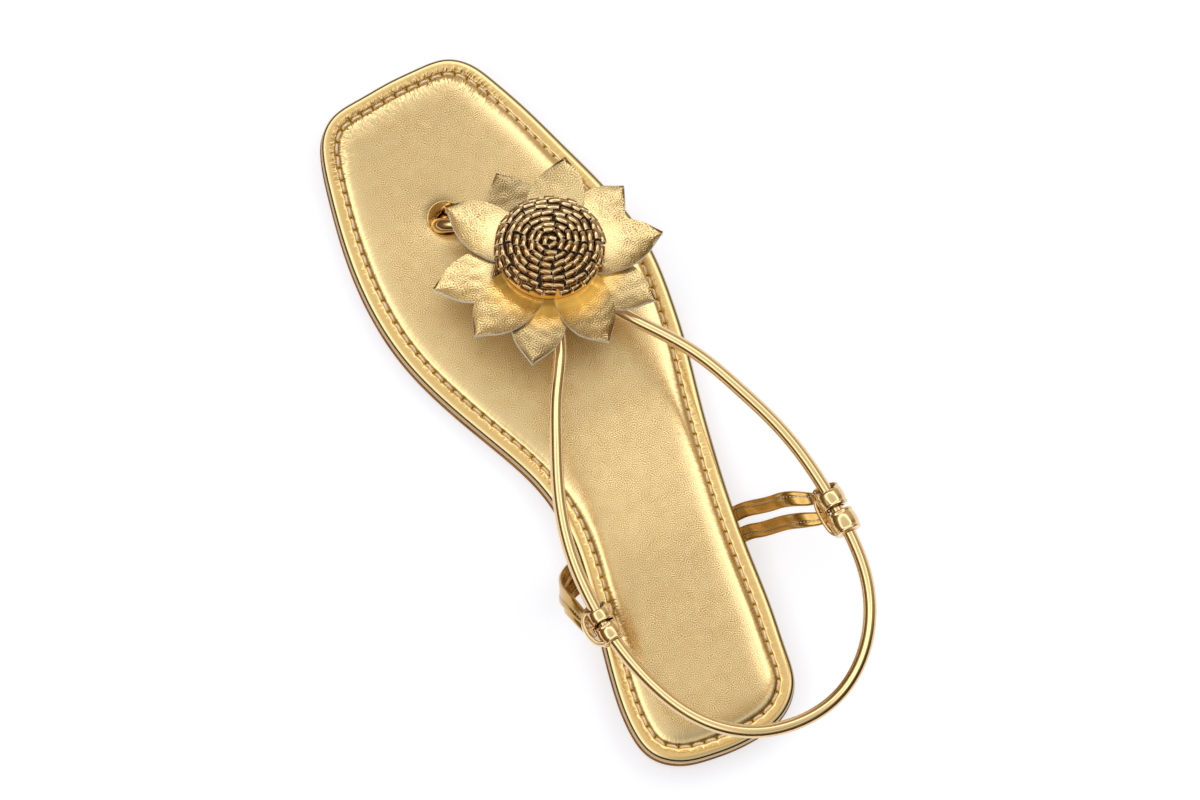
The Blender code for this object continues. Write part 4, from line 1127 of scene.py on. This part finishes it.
# A bead from the bore at one end to the other: share of half its length, share of its radius.
BEAD_SHAPE = ((-0.6, 0.45), (-0.98, 0.47), (-1.0, 0.62), (-0.98, 0.86), (-0.9, 1.0), (0.9, 1.0),
              (0.98, 0.86), (1.0, 0.62), (0.98, 0.47), (0.6, 0.45))
turn = np.linspace(0, 2 * math.pi, 15)[:-1]
beads = []
for radius, crest in BEAD_RINGS:
    number = max(3, round(2 * math.pi * radius / BEAD_LENGTH))
    swing = chance.uniform(0, 2 * math.pi)
    for j in range(number):
        a = swing + 2 * math.pi * (j + chance.uniform(-0.1, 0.1)) / number
        way = a + math.pi / 2 + chance.normal(0, 0.1)
        at = np.array((radius * math.cos(a), radius * math.sin(a), crest))
        at += chance.normal(0, 0.16, 3) * (1, 1, 0.9)
        long = (math.pi * radius / number - 0.08) * chance.uniform(0.92, 1.0)
        run_way = np.array((math.cos(way), math.sin(way), chance.normal(0, 0.06)))
        run_way /= np.linalg.norm(run_way)
        side = np.cross((0, 0, 1), run_way)
        side /= np.linalg.norm(side)
        over = np.cross(run_way, side)
        fat = BEAD_RADIUS * chance.uniform(0.94, 1.05)
        beads.append([at + a1 * long * run_way + fat * r1 * (math.cos(q) * side
                                                             + math.sin(q) * over)
                      for a1, r1 in BEAD_SHAPE for q in turn])
rows = len(BEAD_SHAPE)
# Glass with a bronze lining: a dark brown body, and a painted highlight, a pale streak along the
# crown of each tube.
bead_glass, tree = bare_material("bronze_lined_glass")
spot = add(tree, "TexCoord").outputs["Object"]
tint = add(tree, "TexNoise", {"Vector": spot, "Scale": 260.0, "Detail": 1.0})
shade = add(tree, "ValToRGB", {0: tint.outputs["Fac"]},
            [(0.3, hexed("#74491a")), (0.7, hexed("#a1743a"))])
painted_streak = add(tree, "Attribute", attribute_name="painted_streak").outputs["Fac"]
shade = add(tree, "Mix", {0: painted_streak, 6: shade.outputs[0], 7: hexed("#f4dca8")}, data_type="RGBA")
skin = add(tree, "BsdfPrincipled", {
    "Base Color": shade.outputs[2], "Metallic": 1.0, "Roughness": 0.16,
    "Coat Weight": 0.5, "Coat Roughness": 0.05})
add(tree, "OutputMaterial", {"Surface": skin.outputs[0]})
# The ends of the tubes: painted glints, each a small pale metal ring.
bead_end, tree = bare_material("bead_end_painted_glint")
spot = add(tree, "TexCoord").outputs["Object"]
end_mottle = add(tree, "TexNoise", {"Vector": spot, "Scale": 2400.0, "Detail": 2.0})
shade = add(tree, "ValToRGB", {0: end_mottle.outputs["Fac"]},
            [(0.3, hexed("#e6d0a2")), (0.7, hexed("#fff6e4"))])
skin = add(tree, "BsdfPrincipled", {
    "Base Color": shade.outputs[0], "Metallic": 1.0, "Roughness": 0.35})
add(tree, "OutputMaterial", {"Surface": skin.outputs[0]})
# Each bead gets pale end rings of painted glint, and a painted highlight streak along its crown, a
# little to one side.
points = np.array(beads).reshape(-1, 3) @ to_world + FLOWER_CENTRE
ends = np.isin(np.arange(rows - 1), (1, 2, 3, 5, 6, 7)).repeat(14)
piece("bugle_beads", points, each(quads(rows, 14), len(beads), rows * 14),
      [bead_glass, bead_end], ["bead_pad"], np.tile(ends, len(beads)),
      {"painted_streak": np.tile(np.clip((np.sin(turn + 0.25) - 0.86) / 0.12, 0, 1), rows * len(beads))})

# The domed pad under the beads: radius, height.
FELT_SECTION = ((0.0, 10.25), (15.6, 10.25), (16.2, 10.5), (16.0, 10.9), (14.0, 11.4),
                (8.0, 11.9), (0.0, 12.1))
# Wool felt: dark brown, no shine, seen only in the gaps, its fuzz drawn coarser than real.
felt, tree = bare_material("dark_brown_felt")
fuzz = add(tree, "TexNoise", {"Scale": 1500.0, "Detail": 3.0})
shade = add(tree, "ValToRGB", {0: fuzz.outputs["Fac"]},
            [(0.3, hexed("#20140a")), (0.7, hexed("#3c2814"))])
skin = add(tree, "BsdfPrincipled", {"Base Color": shade.outputs[0], "Roughness": 0.95})
add(tree, "OutputMaterial", {"Surface": skin.outputs[0]})
points, faces = turned(FELT_SECTION, 64)
piece("bead_backing_felt", points, faces, [felt])
